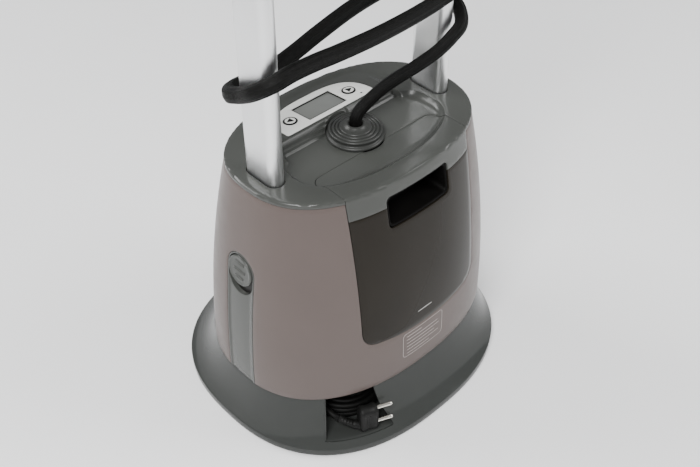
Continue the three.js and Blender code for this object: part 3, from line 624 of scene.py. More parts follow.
def moulded(name, colour, gloss, grain=0.02, grain_size=1400, mottle=0.05, waviness=0.012, **values):
    """Moulded plastic: faint mottling, uneven gloss, a spark-eroded grain and slight sink waves."""
    f = Finish(name, colour, gloss[0], **values)
    drift = f.noise(14, 4, 0.55)
    f.tinted(drift, (0.3, shaded(colour, 1 - mottle)), (0.7, shaded(colour, 1 + mottle)))
    f.glossed(f.noise(60, 5, 0.6), *gloss)
    f.bump(f.noise(grain_size, 2), 0.35, grain)
    f.bump(f.noise(22, 1), 0.25, waviness * 10)
    return f.material


def brushed(name, colour, gloss, along="z"):
    """Drawn or brushed metal: long fine lines, with cloudy anodising and faint handling marks."""
    f = Finish(name, colour, gloss[0], Metallic=1.0)
    scale = {"x": (8, 900, 900), "y": (900, 8, 900), "z": (1500, 1500, 5)}[along]
    lines = f.noise(scale, 4, 0.6)
    f.glossed(lines, *gloss)
    cloud = f.noise(9, 3)
    f.tinted(cloud, (0.3, shaded(colour, 0.95)), (0.7, shaded(colour, 1.04)))
    f.bump(lines, 0.25, 0.012)
    f.bump(f.noise((260, 260, 40), 2), 0.08, 0.01)
    return f.material


def smoked():
    """Smoked plastic that reads as nearly black: no light is let through it."""
    f = Finish("smoked_plastic", (0.013, 0.011, 0.008), 0.1, Specular_IOR_Level=0.12)
    f.tinted(f.noise(9, 2), (0.3, (0.012, 0.010, 0.0075)), (0.7, (0.0145, 0.012, 0.009)))
    f.glossed(f.noise(45, 5, 0.6), 0.08, 0.15)
    f.bump(f.noise(18, 1), 0.2, 0.12)
    return f.material


def rubbery(name, colour, gloss, grain=0.04, **values):
    f = Finish(name, colour, gloss[0], **values)
    f.tinted(f.noise(40, 5, 0.65), (0.3, shaded(colour, 0.8)), (0.72, shaded(colour, 1.35)))
    f.glossed(f.noise(90, 4), *gloss)
    f.bump(f.noise(900, 3, 0.6), 0.5, grain)
    return f.material


def woven():
    """A braided sleeve: two sets of yarns that cross on the slant, each yarn with its own shine."""
    yarns_round, yarn_pitch = 30.0, 30.0     # yarns per turn, and per circumference along the hose
    f = Finish("woven_hose", (0.005, 0.005, 0.005), 0.55, Specular_IOR_Level=0.1)
    uv = f.node("ShaderNodeTexCoord").outputs["UV"]
    split = f.node("ShaderNodeSeparateXYZ")
    f.link(uv, split.inputs["Vector"])
    around, along = split.outputs["X"], split.outputs["Y"]
    yarns = []
    for sign in (-1, 1):
        slant = f.maths("ADD", f.maths("MULTIPLY", around, yarns_round),
                        f.maths("MULTIPLY", along, sign * yarn_pitch))
        wave = f.maths("SINE", f.maths("MULTIPLY", slant, TAU))
        yarns.append(f.maths("MULTIPLY", f.maths("ADD", wave, 1.0), 0.5))
    rows = f.maths("SINE", f.maths("MULTIPLY", f.maths("MULTIPLY", along, yarn_pitch), TAU))
    over = f.maths("GREATER_THAN", rows, 0.0)
    under = f.maths("SUBTRACT", 1.0, over)
    height = f.maths("ADD", f.maths("MULTIPLY", yarns[0], over), f.maths("MULTIPLY", yarns[1], under))
    fuzz = f.noise((70, 9, 1), 5, 0.6, source=uv)
    f.tinted(fuzz, (0.35, (0.0016, 0.0016, 0.0014)), (0.62, (0.004, 0.004, 0.0036)),
             (0.8, (0.012, 0.012, 0.011)))
    f.glossed(fuzz, 0.62, 0.4)
    f.bump(height, 0.55, 0.25)
    f.bump(f.noise((160, 22, 1), 3, 0.6, source=uv), 0.5, 0.2)
    return f.material


def lcd_glass():
    """A grey liquid-crystal window behind a clear, softly scratched cover."""
    f = Finish("screen", (0.15, 0.155, 0.145), 0.18, Coat_Weight=0.5, Coat_Roughness=0.05)
    f.tinted(f.noise(30, 2), (0.3, (0.14, 0.145, 0.135)), (0.7, (0.16, 0.165, 0.155)))
    f.glossed(f.noise(240, 4), 0.16, 0.26)
    f.bump(f.noise((2600, 2600, 2600), 1), 0.15, 0.01)
    return f.material


def board_green():
    f = Finish("circuit_board", (0.02, 0.09, 0.035), 0.35)
    tracks = f.node("ShaderNodeTexBrick", Scale=90.0, Mortar_Size=0.012)
    f.link(f.places, tracks.inputs["Vector"])
    f.tinted(tracks.outputs["Fac"], (0.0, (0.02, 0.09, 0.035)), (1.0, (0.05, 0.17, 0.07)))
    f.bump(tracks.outputs["Fac"], 0.4, 0.05)
    return f.material


def cast():
    f = Finish("cast_metal", (0.5, 0.5, 0.51), 0.5, Metallic=1.0)
    f.glossed(f.noise(70, 4), 0.42, 0.6)
    f.bump(f.noise(420, 4, 0.65), 0.6, 0.12)
    return f.material


MAUVE = (0.090, 0.071, 0.065)
DECK = (0.046, 0.048, 0.044)
SLOPE = (0.033, 0.035, 0.033)
BOOT = (0.027, 0.028, 0.026)


def make_looks():
    """One finish for each of the record's material slots, one for the gland, and one for the grip that is
    painted shade: darker and duller than the black plastic.
    """
    return {
        "mauve_casing": moulded("mauve_casing", MAUVE, (0.3, 0.37), 0.01, 2600, 0.025, 0.006,
                                Specular_IOR_Level=0.2),
        "grey_plastic": moulded("grey_plastic", DECK, (0.2, 0.27), 0.006, 2400, 0.04, 0.008,
                                Specular_IOR_Level=0.3),
        "dark_grey_plastic": moulded("dark_grey_plastic", SLOPE, (0.1, 0.14), 0.004, 2400, 0.05, 0.004,
                                     Specular_IOR_Level=0.14),
        "gland_rubber": moulded("gland_rubber", BOOT, (0.3, 0.4), 0.02, 1600, 0.1, 0.004,
                                Specular_IOR_Level=0.25),
        "smoked_plastic": smoked(),
        "black_plastic": moulded("black_plastic", (0.006, 0.0055, 0.005), (0.3, 0.42), 0.03, 1300, 0.15,
                                 Specular_IOR_Level=0.2),
        # the grip cup's finish: black plastic made darker and duller, painted shade of the finger recess
        "grip_painted_shade": moulded("grip_painted_shade", (0.0022, 0.002, 0.0018), (0.45, 0.6), 0.04, 1300, 0.15,
                              Specular_IOR_Level=0.05),
        "silver_panel": moulded("silver_panel", (0.72, 0.72, 0.69), (0.3, 0.38), 0.02, 1800, 0.015,
                                Specular_IOR_Level=0.3),
        "screen": lcd_glass(),
        "circuit_board": board_green(),
        "pole_aluminium": brushed("pole_aluminium", (0.80, 0.805, 0.81), (0.27, 0.4)),
        "cast_metal": cast(),
        "bright_steel": brushed("bright_steel", (0.62, 0.63, 0.64), (0.16, 0.28), "x"),
        "plug_pins": brushed("plug_pins", (0.78, 0.75, 0.68), (0.14, 0.26), "x"),
        "black_rubber": rubbery("black_rubber", (0.006, 0.006, 0.0056), (0.42, 0.6),
                                Specular_IOR_Level=0.15),
        # the mains lead's sheath: its own black, made darker and less glossy than the other rubber as
        # painted shade of the cord bay it lies in
        "cord_sheath": rubbery("cord_sheath", (0.0035, 0.0035, 0.0032), (0.42, 0.55), 0.02,
                               Specular_IOR_Level=0.08),
        "woven_hose": woven(),
        "white_plastic": moulded("white_plastic", (0.62, 0.61, 0.58), (0.32, 0.45), 0.02, 1500, 0.03),
    }


def print_ink(name, colour):
    """Screen-printed ink: slightly uneven cover."""
    f = Finish(name, colour, 0.45)
    f.tinted(f.noise(900, 3), (0.3, shaded(colour, 0.85)), (0.7, colour))
    f.glossed(f.noise(300, 2), 0.4, 0.55)
    return f.material


def floor_look():
    f = Finish("floor", (0.9, 0.9, 0.9), 0.55)
    f.tinted(f.noise(3, 3), (0.3, (0.885, 0.885, 0.885)), (0.7, (0.91, 0.91, 0.91)))
    return f.material


# ------------------------------------------------------------------ cords
def route(points, step):
    """A centripetal Catmull-Rom line through the points, evenly divided."""
    p = np.asarray(points, float)
    p = np.vstack([2 * p[0] - p[1], p, 2 * p[-1] - p[-2]])
    fine = []
    for i in range(1, len(p) - 2):
        knots = [0.0]
        for k in range(3):
            knots.append(knots[-1] + max(np.linalg.norm(p[i + k] - p[i + k - 1]), 1e-6) ** 0.5)
        t = np.linspace(knots[1], knots[2], 24, endpoint=False)[:, None]
        rungs = [((knots[k + 1] - t) * p[i - 1 + k] + (t - knots[k]) * p[i + k])
                 / (knots[k + 1] - knots[k]) for k in range(3)]
        pairs = [((knots[k + 2] - t) * rungs[k] + (t - knots[k]) * rungs[k + 1])
                 / (knots[k + 2] - knots[k]) for k in range(2)]
        fine.append(((knots[2] - t) * pairs[0] + (t - knots[1]) * pairs[1]) / (knots[2] - knots[1]))
    fine = np.vstack([*fine, p[-2]])
    along = np.concatenate([[0], np.cumsum(np.linalg.norm(np.diff(fine, axis=0), axis=1))])
    even = np.linspace(0, along[-1], int(round(along[-1] / step)) + 1)
    return np.stack([np.interp(even, along, fine[:, k]) for k in range(3)], -1), along[-1]


def sleeve(name, path, radius, sides, start_up=(1, 0, 0)):
    """A tube along a path. radius(angles, distance) gives its section; UVs are in circumferences."""
    tangent = np.gradient(path, axis=0)
    tangent /= np.linalg.norm(tangent, axis=1)[:, None]
    side = np.cross(tangent[0], start_up)
    side /= np.linalg.norm(side)
    step = np.linalg.norm(path[1] - path[0])
    angles = ring(sides)
    points = []
    for i, (at, ahead) in enumerate(zip(path, tangent)):
        side = side - ahead * (side @ ahead)
        side /= np.linalg.norm(side)
        up = np.cross(ahead, side)
        r = np.broadcast_to(radius(angles, i * step), sides)[:, None]
        points.append(at + r * (np.cos(angles)[:, None] * side + np.sin(angles)[:, None] * up))
    count = len(path)
    flat = np.concatenate(points)
    faces = [(i * sides + j, i * sides + (j + 1) % sides, (i + 1) * sides + (j + 1) % sides,
              (i + 1) * sides + j) for i in range(count - 1) for j in range(sides)]
    caps = [tuple(reversed(range(sides))), tuple(range((count - 1) * sides, count * sides))]
    mesh = soft_mesh(name, flat, faces + caps)
    uv = mesh.uv_layers.new(name="around_along")
    wide = float(np.mean(radius(angles, 0.0))) * TAU
    values = []
    for i in range(count - 1):
        v0, v1 = i * step / wide, (i + 1) * step / wide
        for j in range(sides):
            u0, u1 = j / sides, (j + 1) / sides
            values += [u0, v0, u1, v0, u1, v1, u0, v1]
    values += [0.0] * (2 * len(caps) * sides)
    uv.data.foreach_set("uv", values)
    shade(mesh, 60)
    return make(name, mesh)


HOSE_ROUTE = [
    (0, -20.9, 332), (0, -20.9, 335.3), (0.1, -20.9, 341), (4, -21.2, 347), (13, -22.4, 353.5),
    (24, -24.6, 360.5), (35, -27.8, 367), (48, -32, 373), (66, -37.8, 380), (80, -42.5, 386.5),
    (93, -46.5, 393.5), (107, -48.8, 402.5), (122, -47, 410), (132.6, -34.6, 419), (133.4, -15, 430),
    (132.6, 3.4, 438), (122, 15.8, 442), (98, 17.6, 442.5), (36, 17.6, 438.5), (-18, 17.6, 427),
    (-43, 17.6, 420.2), (-68, 17.6, 415), (-98, 17.6, 413), (-122, 15.8, 414.5), (-132.6, 3.4, 419),
    (-133.4, -15, 428), (-132.6, -34.6, 441), (-122, -47, 450.5), (-104, -48.8, 453.5),
    (-76, -47.8, 452), (-50, -47.6, 449.7), (0, -47.6, 447.5), (50, -47.6, 448.5), (84, -48.2, 452),
    (107, -48.8, 457), (122, -47, 464.5), (132.6, -34.6, 474), (133.4, -15, 484), (132.6, 3.4, 492),
    (122, 15.8, 497), (98, 17.6, 499.5), (40, 17.6, 507), (-40, 17.6, 517), (-98, 17.6, 521),
    (-122, 15.8, 524), (-132.6, 3.4, 530), (-133.4, -15, 537), (-132.6, -34.6, 544), (-122, -47, 549),
    (-104, -49.8, 551), (-80, -52.5, 550.5), (-56, -56, 548.5), (-34, -58.5, 548.5),
    (-16, -59.5, 552.5), (-4.5, -60, 561.5), (-0.3, -60, 574), (0, -60, 584.6),
]


def steam_hose():
    """The braided hose: out of the gland, wound three times round the poles, into the head."""
    path, length = route(HOSE_ROUTE, 1.8)

    def section(angle, along):
        """Slightly uneven all along, and slimmer where it leaves the gland."""
        folds = 0.3 * np.cos(5 * angle + along / 90) + 0.2 * np.cos(9 * angle - along / 120)
        fuller = smooth((along - 90) / 160)
        return HOSE_D / 2 + mix(-1.3, 0.1, fuller) + folds

    hose = sleeve("braided_hose", path, section, 56)
    finish(hose, "woven_hose", "root", "steam_hose")
    return hose, path, length


def coil_turns():
    """Six turns in three layers of two, from the outer bottom turn, as (u, v, z) points."""
    out, into = COIL["r"] + CORD_D / 2, COIL["r"] - CORD_D / 2
    layer = [COIL["low"] + CORD_D / 2 + CORD_D * k for k in range(3)]
    turns = [(out, layer[0]), (into, layer[0]), (into, layer[1]), (out, layer[1]),
             (out, layer[2]), (into, layer[2])]
    last = (COIL["r"], COIL["high"] + COIL["over"])
    per_turn, change = 20, 0.16      # points in a turn, and the share of it that crosses to the next
    entry, entry_out = 0.22, 7.5     # the first turn starts this far out, for this share of it
    points = []
    for k, (r, z) in enumerate(turns):
        next_r, next_z = turns[k + 1] if k + 1 < len(turns) else last
        for j in range(per_turn):
            t = j / per_turn
            step = smooth((t - 1 + change) / change)
            angle = math.pi + TAU * t
            entering = (1 - smooth(t / entry)) * entry_out if k == 0 else 0
            reach = mix(r, next_r, step) + entering
            points.append((COIL["u"] + reach * math.cos(angle), COIL["v"] + reach * math.sin(angle),
                           mix(z, next_z, step)))
    return points


def mains_cord():
    """The mains lead: from its relief in the bay's rear wall, coiled, then out to the plug."""
    u, z = RELIEF["u"], RELIEF["z"]
    low = COIL["low"] + CORD_D / 2
    over = COIL["high"] + COIL["over"]
    lead_in = [(u, 92.2, z), (u, 88, z - 0.6), (u, 80, low + 1), (u, 73, low)]
    lead_out = [(-35, 62, over), (-35, 46, over), (-33.8, 33, over - 0.4), (-29.6, 21, over - 2),
                (-25, 14.6, 38.7), (-21.5, 12.1, 36.5), (-19.8, 11.1, 35.6)]
    path, length = route(in_bay(lead_in + coil_turns() + lead_out), 1.5)
    cord = sleeve("mains_lead", path, lambda *_: CORD_D / 2, 20, (0, 0, 1))
    # the sheath is a darker black than the plug's rubber: partly the cord's own black, partly painted shade
    # of the bay
    finish(cord, "cord_sheath", "root", "cord_lead", "cord_coil", "power_cord")
    return cord, path, length


# ------------------------------------------------------------------ base
def slope_height(t):
    """The skirt's height at a share of its slope, from the rim to the body."""
    return mix(RIM_TOP, SKIRT_TOP, mix(t ** SKIRT_FLARE, t, SKIRT_STRAIGHT))


# inset and height of the rim's rows, from the floor up
LIP = [(2.2, 1.5), (0.9, 1.7), (0.9, 2.5), (0.0, 2.7), (0.0, 6.0), (0.0, 10.9), (0.12, 11.5),
       (0.6, RIM_TOP)]


def slope_inset(t):
    """The inset at a share of the slope: the rim's last one, run out towards the body."""
    return LIP[-1][0] * (1 - t)


def skirt_section():
    """The section from the floor up: distance run, and rows of slope share, inset and height."""
    rows = [(0.0, inset, z) for inset, z in LIP]
    rows += [(t, slope_inset(t), slope_height(t)) for t in np.linspace(0, 1, 25)[1:]]
    rows = np.array(rows)
    neck_run = BASE["b"] - FOOTPRINT["b"] - FOOTPRINT["y"]
    out = rows[:, 1] + neck_run * rows[:, 0]
    run = np.concatenate([[0], np.cumsum(np.hypot(np.diff(out), np.diff(rows[:, 2])))])
    return run, rows


SKIRT_RUN, SKIRT_ROWS = skirt_section()
SKIRT_ROUND = 166.0              # the radius that turns an angle on the skirt into a distance


def skirt_form(t):
    neck = dict(FOOTPRINT, a=FOOTPRINT["a"] - 2, b=FOOTPRINT["b"] - 2)
    return blend(BASE, neck, t)


def on_skirt(flat):
    phi, run = flat[:, 0] / SKIRT_ROUND, flat[:, 1]
    t, inset, z = (np.interp(run, SKIRT_RUN, SKIRT_ROWS[:, k]) for k in range(3))
    x, y = superellipse(skirt_form(t), phi, inset)
    return np.stack([x, y, z], -1)


def bay_mouth_on_skirt(points):
    """Points of the bay's mouth (along the opening, up) on the skirt's unrolled surface."""
    out = []
    shares = np.linspace(0, 1, 200)
    for u, z in points:
        z = min(z, SKIRT_TOP)
        t = np.interp(z, slope_height(shares), shares)
        form, inset = skirt_form(t), slope_inset(t)
        near, far = -60.0, 60.0
        for _ in range(40):
            v = (near + far) / 2
            x, y, _ = in_bay((u, v, z))[0]
            k = (abs(x / (form["a"] - inset)) ** form["n"]
                 + abs((y - form["y"]) / (form["b"] - inset)) ** form["n"])
            near, far = (v, far) if k > 1 else (near, v)
        x, y, _ = in_bay((u, near, z))[0]
        phi = angle_on(form, x, y, inset)
        run = np.interp(z, SKIRT_ROWS[len(LIP) - 1:, 2], SKIRT_RUN[len(LIP) - 1:])
        out.append((phi * SKIRT_ROUND, run))
    return np.array(out)


def at_height(p, q, z):
    """Where the line between two (x, z) points is at a height."""
    return p[0] + (q[0] - p[0]) * (z - p[1]) / (q[1] - p[1]), z


def base_skirt():
    """The skirt's sheet is cut at the rear (y > 0) and has the bay's mouth as a notch in its top."""
    low, top = 0.0, SKIRT_RUN[-1]
    left, right = -1.5 * math.pi * SKIRT_ROUND, 0.5 * math.pi * SKIRT_ROUND
    sill = BAY["floor"] + 0.6
    corners = [(u, sill if z is None else z) for u, z in BAY_MOUTH]
    lower = rounded(corners, [0, 1.5, 1.5, 8, 0], 5)[1:-1]
    mouth = filled(lower, 2.0, closed=False)
    mouth = mouth[mouth[:, 1] < SKIRT_TOP - 0.3]
    ends = [at_height(corners[1], corners[0], SKIRT_TOP), at_height(corners[3], corners[4], SKIRT_TOP)]
    notch = bay_mouth_on_skirt(np.vstack([ends[0], mouth, ends[1]]))
    bottom = filled([(left, low), (right, low)], 3, closed=False)
    rise = [(right, r) for r in SKIRT_RUN[1:]]
    front = filled([notch[0], (left, top)], 3, closed=False)[1:]
    fall = [(left, r) for r in SKIRT_RUN[-2:0:-1]]
    outer = np.vstack([bottom, rise, between((right, top), notch[-1]), notch[::-1], front, fall])
    across = np.linspace(left + 2, right - 2, 300)
    lines = [np.array([(x, r) for x in across]) for r in SKIRT_RUN[1:len(LIP) + 1]]
    points, faces = sheet(outer, [], 4.5, on_skirt, lines)
    skirt = shell("base_cover", points, faces, 2.4, 0.4)
    finish(skirt, "dark_grey_plastic", "root", "base_skirt")


def foot(where, x, y):
    profile = [(0, 0), (8, 0), (8.6, 0.5), (9.4, 0.5), (10, 0), (11.6, 0), (12.5, 0.3), (13, 1), (13, 3.7),
               (0, 3.7)]
    finish(turned(f"rubber_{where}", profile, 48, shift(x, y, 0)), "black_rubber", "root", where)


# ------------------------------------------------------------------ casing
CASING_ROUND = 140.0


def on_casing(flat):
    return casing(flat[:, 0] / CASING_ROUND, flat[:, 1])


def tank_outline(inset, top):
    """The tank's front: straight sides, round corners and a sagging lower edge, as (x, z) points."""
    half, low, r = TANK["half"] - inset, TANK["low"] + inset, TANK["corner"] - inset
    side = low + TANK["sag"]
    return np.vstack([[(-half, top)],
                      curve((-half, side + r), (-half, side), (-half + r, side), 13),
                      curve((-half + r, side), (0, low - TANK["sag"]), (half - r, side), 13),
                      curve((half - r, side), (half, side), (half, side + r), 13),
                      [(half, top)]])


def strip_outline(out, low):
    """The side strip: straight sides and a round top, as (y, z) points from its lower front corner."""
    r = STRIP["half"] + out
    arch = arc_points(POLE["y"], STRIP["arch"], r, math.pi, 0, 25)
    return np.vstack([[(POLE["y"] - r, low)], arch, [(POLE["y"] + r, low)]])


def body_shell():
    low, top = BODY_LOW, BODY_TOP - 0.25
    left, right = -1.5 * math.pi, 0.5 * math.pi

    def flat(phis, zs):
        return np.stack([np.asarray(phis) * CASING_ROUND, np.asarray(zs)], -1)

    def notch_in_end(sign):
        line = filled(strip_outline(SEAM, low), 2.5, closed=False)
        line = flat([phi_at_y(y, z, sign) for y, z in line], line[:, 1])
        return line if line[0, 0] < line[-1, 0] else line[::-1]

    mouth = filled(tank_outline(-SEAM, top), 2.5, closed=False)
    mouth = flat([phi_at_x(x, z) for x, z in mouth], mouth[:, 1])
    ends = [notch_in_end(-1), notch_in_end(1)]
    corners = [flat([left], [low])[0], flat([right], [low])[0],
               flat([right], [top])[0], flat([left], [top])[0]]

    stops = [corners[:1], ends[0], ends[1], corners[1:2], corners[2:3], mouth[::-1], corners[3:]]
    outer = []
    for here, there in zip(stops, stops[1:] + stops[:1]):
        outer += [here, between(here[-1], there[0])]
    outer = np.vstack(outer)
    points, faces = sheet(outer, [], 5.0, on_casing)
    casing_piece = shell("main_casing", points, faces, WALL, 0.6)
    finish(casing_piece, "mauve_casing", "root", "body_shell")


def end_place(sign, sunk):
    """Lays (y, z) points on one end of the casing, sunk below its surface."""
    def place(flat):
        depth = sunk(flat) if callable(sunk) else sunk
        phi = np.array([phi_at_y(y, z, sign) for y, z in flat])
        form, pulled = casing_form(flat[:, 1])
        x, y = superellipse(form, phi, pulled + depth)
        return np.stack([x, y, flat[:, 1]], -1)
    return place


WELL_LOW = LATCH["z"] - LATCH["travel"] - 1      # the centre of the latch well's lower round end


def latch_well_outline(r):
    return np.array(arc_points(POLE["y"], LATCH["z"], r, 0, math.pi, 24)
                    + arc_points(POLE["y"], WELL_LOW, r, math.pi, TAU, 24))


def side_strip(side, sign):
    """The strip with a raised lip along its edge, and the sunk pan behind the latch."""
    outline = filled(strip_outline(0, STRIP["low"]), 2.2)
    well = filled(latch_well_outline(LATCH["well"]), 1.6)

    def sunk(flat):
        r = STRIP["half"]
        across = np.abs(flat[:, 0] - POLE["y"])
        up = np.maximum(flat[:, 1] - STRIP["arch"], 0)
        inward = r - np.where(up > 0, np.hypot(across, up), across)
        return 0.35 + 0.9 * smooth((inward - 2.0) / 1.0)

    lips = []
    for inward in (1.9, 2.5, 3.1):
        line = filled(strip_outline(-inward, STRIP["low"] + 0.8), 2.2, closed=False)
        keep = [(y, z) for y, z in line if LATCH["well"] + 0.7
                < math.hypot(y - POLE["y"], max(z - LATCH["z"], WELL_LOW - z, 0))]
        runs, run = [], []
        for p in keep:
            if run and math.dist(p, run[-1]) > 2.6:
                runs.append(np.array(run))
                run = []
            run.append(p)
        runs.append(np.array(run))
        lips += [r for r in runs if len(r) > 3]
    points, faces = sheet(outline, [well], 3.0, end_place(sign, sunk), lips)
    strip = shell(f"strip_{side}", points, faces, 2.2, 0.35)
    finish(strip, "grey_plastic", "root", f"side_strip_{side}")

    pan = filled(latch_well_outline(LATCH["well"] + 1.2), 1.8)
    points, faces = sheet(pan, [], 3.0, end_place(sign, 5.8))
    floor = shell(f"latch_pan_{side}", points, faces, 1.2, 0)
    rim = latch_well_outline(LATCH["well"] + 0.02)
    rings = [end_place(sign, depth)(rim) for depth in (1.3, 3.0, 5.9)]
    rings += [end_place(sign, depth)(latch_well_outline(LATCH["well"] + 1.0)) for depth in (5.9, 1.3)]
    wall = loft(f"latch_well_{side}", rings, closed=True)
    shade(wall.data, 40)
    finish(floor, "black_plastic", "root")
    finish(wall, "grey_plastic", "root")


def latch_lean():
    """The lean of the casing's end between the heights at which the latch starts and stops."""
    z_high, z_low = 247.0, 196.0
    high, low = casing(0.0, np.array([z_high]))[0], casing(0.0, np.array([z_low]))[0]
    return math.atan2(low[0] - high[0], z_high - z_low)


def pole_latch(side, sign):
    """A thumb disc with a dished face and three short grips across it."""
    r = LATCH["r"]
    profile = [(0, -4.6), (r - 0.4, -4.6), (r, -4.2), (r, -1.5), (r - 0.35, -0.7), (r - 1.1, -0.2),
               (r - 2.0, -0.15), (r - 2.6, -0.45), (r - 5, -0.55), (r - 9, -0.45), (0, -0.35)]
    disc = lathe(f"latch_disc_{side}", profile, 72)
    grips = ((-8.8, 6.8), (0, 9.0), (8.8, 6.8))      # offset, half length
    carve(disc, *[prism("groove", rect(-half, half, offset - 0.75, offset + 0.75, 0.7, 4), -1.5, 1.0)
                  for offset, half in grips])
    rails = [prism("rail", rect(0.2 - half, half - 0.2, offset + 0.8, offset + 1.9, 0.5, 4), -1.2, 0.15)
             for offset, half in grips]
    stem = prism("stem", circle(0, 0, 6, 32), -13, -4)
    weld(disc, stem, *rails)
    soften(disc, 0.18, 2, 35)
    settle(disc)
    at = Vector((casing(0.0, np.array([LATCH["z"]]))[0][0] + 0.9, POLE["y"], LATCH["z"])) * MM
    turn = (Matrix.Rotation(-latch_lean(), 4, "Y") @ Matrix.Rotation(math.pi / 2, 4, "Y")
            @ Matrix.Rotation(math.pi / 2, 4, "Z"))
    disc.data.transform(Matrix.Translation(at) @ turn)
    if sign < 0:
        spin = Matrix.Rotation(math.pi, 4, "Z")
        disc.data.transform(shift(0, 2 * POLE["y"], 0) @ spin)
    finish(disc, "grey_plastic", f"latch_{side}", f"pole_latch_{side}")


# ------------------------------------------------------------------ poles
def flat_tube(name, x, size, z0, z1):
    """A drawn flat tube with eased ends."""
    y = POLE["y"]
    outer = obround(x, y, size["hx"], size["hy"], 20)
    inner = obround(x, y, size["hx"] - size["wall"], size["hy"] - size["wall"], 20)
    tube = prism(name, outer, z0, z1, [inner])
    soften(tube, 0.35, 2, 60)
    return settle(tube, 30)


def poles():
    for side, sign in SIDES:
        lower = flat_tube(f"pole_{side}", sign * POLE["x"], POLE, POLE["low"], POLE["high"])
        finish(lower, "pole_aluminium", "root", f"lower_pole_{side}")
        upper = flat_tube(f"inner_pole_{side}", sign * POLE["x"], INNER, INNER["low"], INNER["high"])
        finish(upper, "pole_aluminium", "mast", f"upper_pole_{side}")


# ------------------------------------------------------------------ crown: lid and deck in one form
EDGE_R, EDGE_SPAN = 2.6, 110.0   # the crown's edge radius, and the radius that its scale is set by
K_TOP = 1 - EDGE_R / EDGE_SPAN   # below this share of the outline the crown is a top surface
K_SIDE = K_TOP + EDGE_R * math.pi / 2 / EDGE_SPAN


def crown_share(x, y):
    """A point's place between the crown's centre (0) and its outline (1)."""
    n = RIM["n"]
    return (np.abs(x / RIM["a"]) ** n + np.abs((y - RIM["y"]) / RIM["b"]) ** n) ** (1 / n)


def crown_k(z):
    """The share at which the crown's side is at a height."""
    return K_SIDE + (DECK_TOP - EDGE_R - z) / EDGE_SPAN


def side_point(phi, k):
    """A flat point from an angle and a share."""
    x, y = superellipse(RIM, phi)
    return np.stack([k * x, k * (y - RIM["y"]) + RIM["y"]], -1)


def side_at_x(x, z):
    """The flat point for a point of the crown's front side."""
    return side_point(phi_at_x(x, z), crown_k(z))


def dish_depth(x, y):
    """How deep the oval dish is: crisp at its lip, hollowed to a flat floor, open under the console."""
    under_console = 110.0
    opened = mix(under_console, DISH["rear"], smooth((np.abs(x) - 74) / 8))
    reach = np.where(y < DISH["y"], DISH["front"], opened)
    n = np.where(y < DISH["y"], 2.2, 4.0)
    px, py = np.abs(x) / DISH["a"], np.abs(y - DISH["y"]) / reach
    k = np.maximum((px ** n + py ** n) ** (1 / n), 1e-6)
    slope = np.hypot((px / k) ** (n - 1) / DISH["a"], (py / k) ** (n - 1) / reach)
    inward = (1 - k) / np.maximum(slope, 1e-6)
    middle_width, end_width = 13.0, 9.0      # the sloping band inside the lip
    width = mix(middle_width, end_width, smooth((np.abs(x) - 60) / 30))
    bowl = 1 - (1 - np.clip(inward / width, 0, 1)) ** 2.2
    lip_drop, lip_reach = 0.35, 0.9
    ease = lip_drop * np.exp(-(inward / lip_reach) ** 2)
    return (DECK_TOP - DISH["z"]) * bowl + np.where(inward > -2, ease, 0)


SEAT_R = GLAND["r"] + 0.6
CONSOLE_STEPS = [(-1.0, 320.0), (0.6, 322.2), (3.6, 322.9), (4.7, 325.3), (7.4, 326.2), (8.6, 329.4),
                 (11.0, 330.9), (12.2, 330.95)]


def crown_height(x, y):
    """The crown's top: rim, dish, the console with its stepped front, and the gland's flat seat."""
    top = DECK_TOP - dish_depth(x, y)
    steps = np.array(CONSOLE_STEPS)
    front = np.interp(y, steps[:, 0], steps[:, 1], left=-1e3)
    plane = CONSOLE["top"] - math.tan(CONSOLE["tilt"]) * (y - CONSOLE["crest"])
    console = np.where(y < steps[-1, 0], front, plane)
    console = console - 12 * smooth((np.abs(x) - CONSOLE["half"]) / 10) ** 1.5
    top = np.maximum(top, console)
    off_seat = smooth((np.hypot(x, y - GLAND["y"]) - SEAT_R) / 0.25)
    return mix(np.minimum(top, DISH["z"]), top, off_seat)


def on_crown(flat):
    """Lays flat points on the crown: as they are on top, round its edge and down its side."""
    x, y = flat[:, 0].copy(), flat[:, 1].copy()
    k = np.maximum(crown_share(x, y), 1e-6)
    phi = angle_on(RIM, x, y)
    arc = np.clip((k - K_TOP) * EDGE_SPAN / EDGE_R, 0, math.pi / 2)
    kappa = np.where(k < K_TOP, k, K_TOP + EDGE_R / EDGE_SPAN * np.sin(arc))
    z = np.where(k < K_TOP, crown_height(x, y), DECK_TOP - EDGE_R * (1 - np.cos(arc)))
    scale = kappa / k
    px, py = x * scale, (y - RIM["y"]) * scale + RIM["y"]
    down = k > K_SIDE
    z = np.where(down, DECK_TOP - EDGE_R - (k - K_SIDE) * EDGE_SPAN, z)
    side = casing(phi, np.minimum(z, BODY_TOP))
    px, py = np.where(down, side[:, 0], px), np.where(down, side[:, 1], py)
    return np.stack([px, py, z], -1)


def lid_side(sign, out, z_end):
    """The lid's side edge from the top, round the crown's edge and down, as flat points."""
    half = TANK["half"] + out
    ks = np.concatenate([np.linspace(K_TOP, K_SIDE, 6), np.arange(K_SIDE + 0.01, crown_k(z_end), 0.02),
                         [crown_k(z_end)]])
    points = []
    for k in ks:
        arc = min((k - K_TOP) * EDGE_SPAN / EDGE_R, math.pi / 2)
        kappa = K_TOP + EDGE_R / EDGE_SPAN * math.sin(arc)
        z = DECK_TOP - EDGE_R - max(k - K_SIDE, 0) * EDGE_SPAN
        form, pulled = casing_form(min(z, BODY_TOP))
        share = half / (kappa * (form["a"] - pulled))
        phi = -math.acos(sign * share ** (form["n"] / 2))
        points.append(side_point(phi, k))
    return np.array(points)


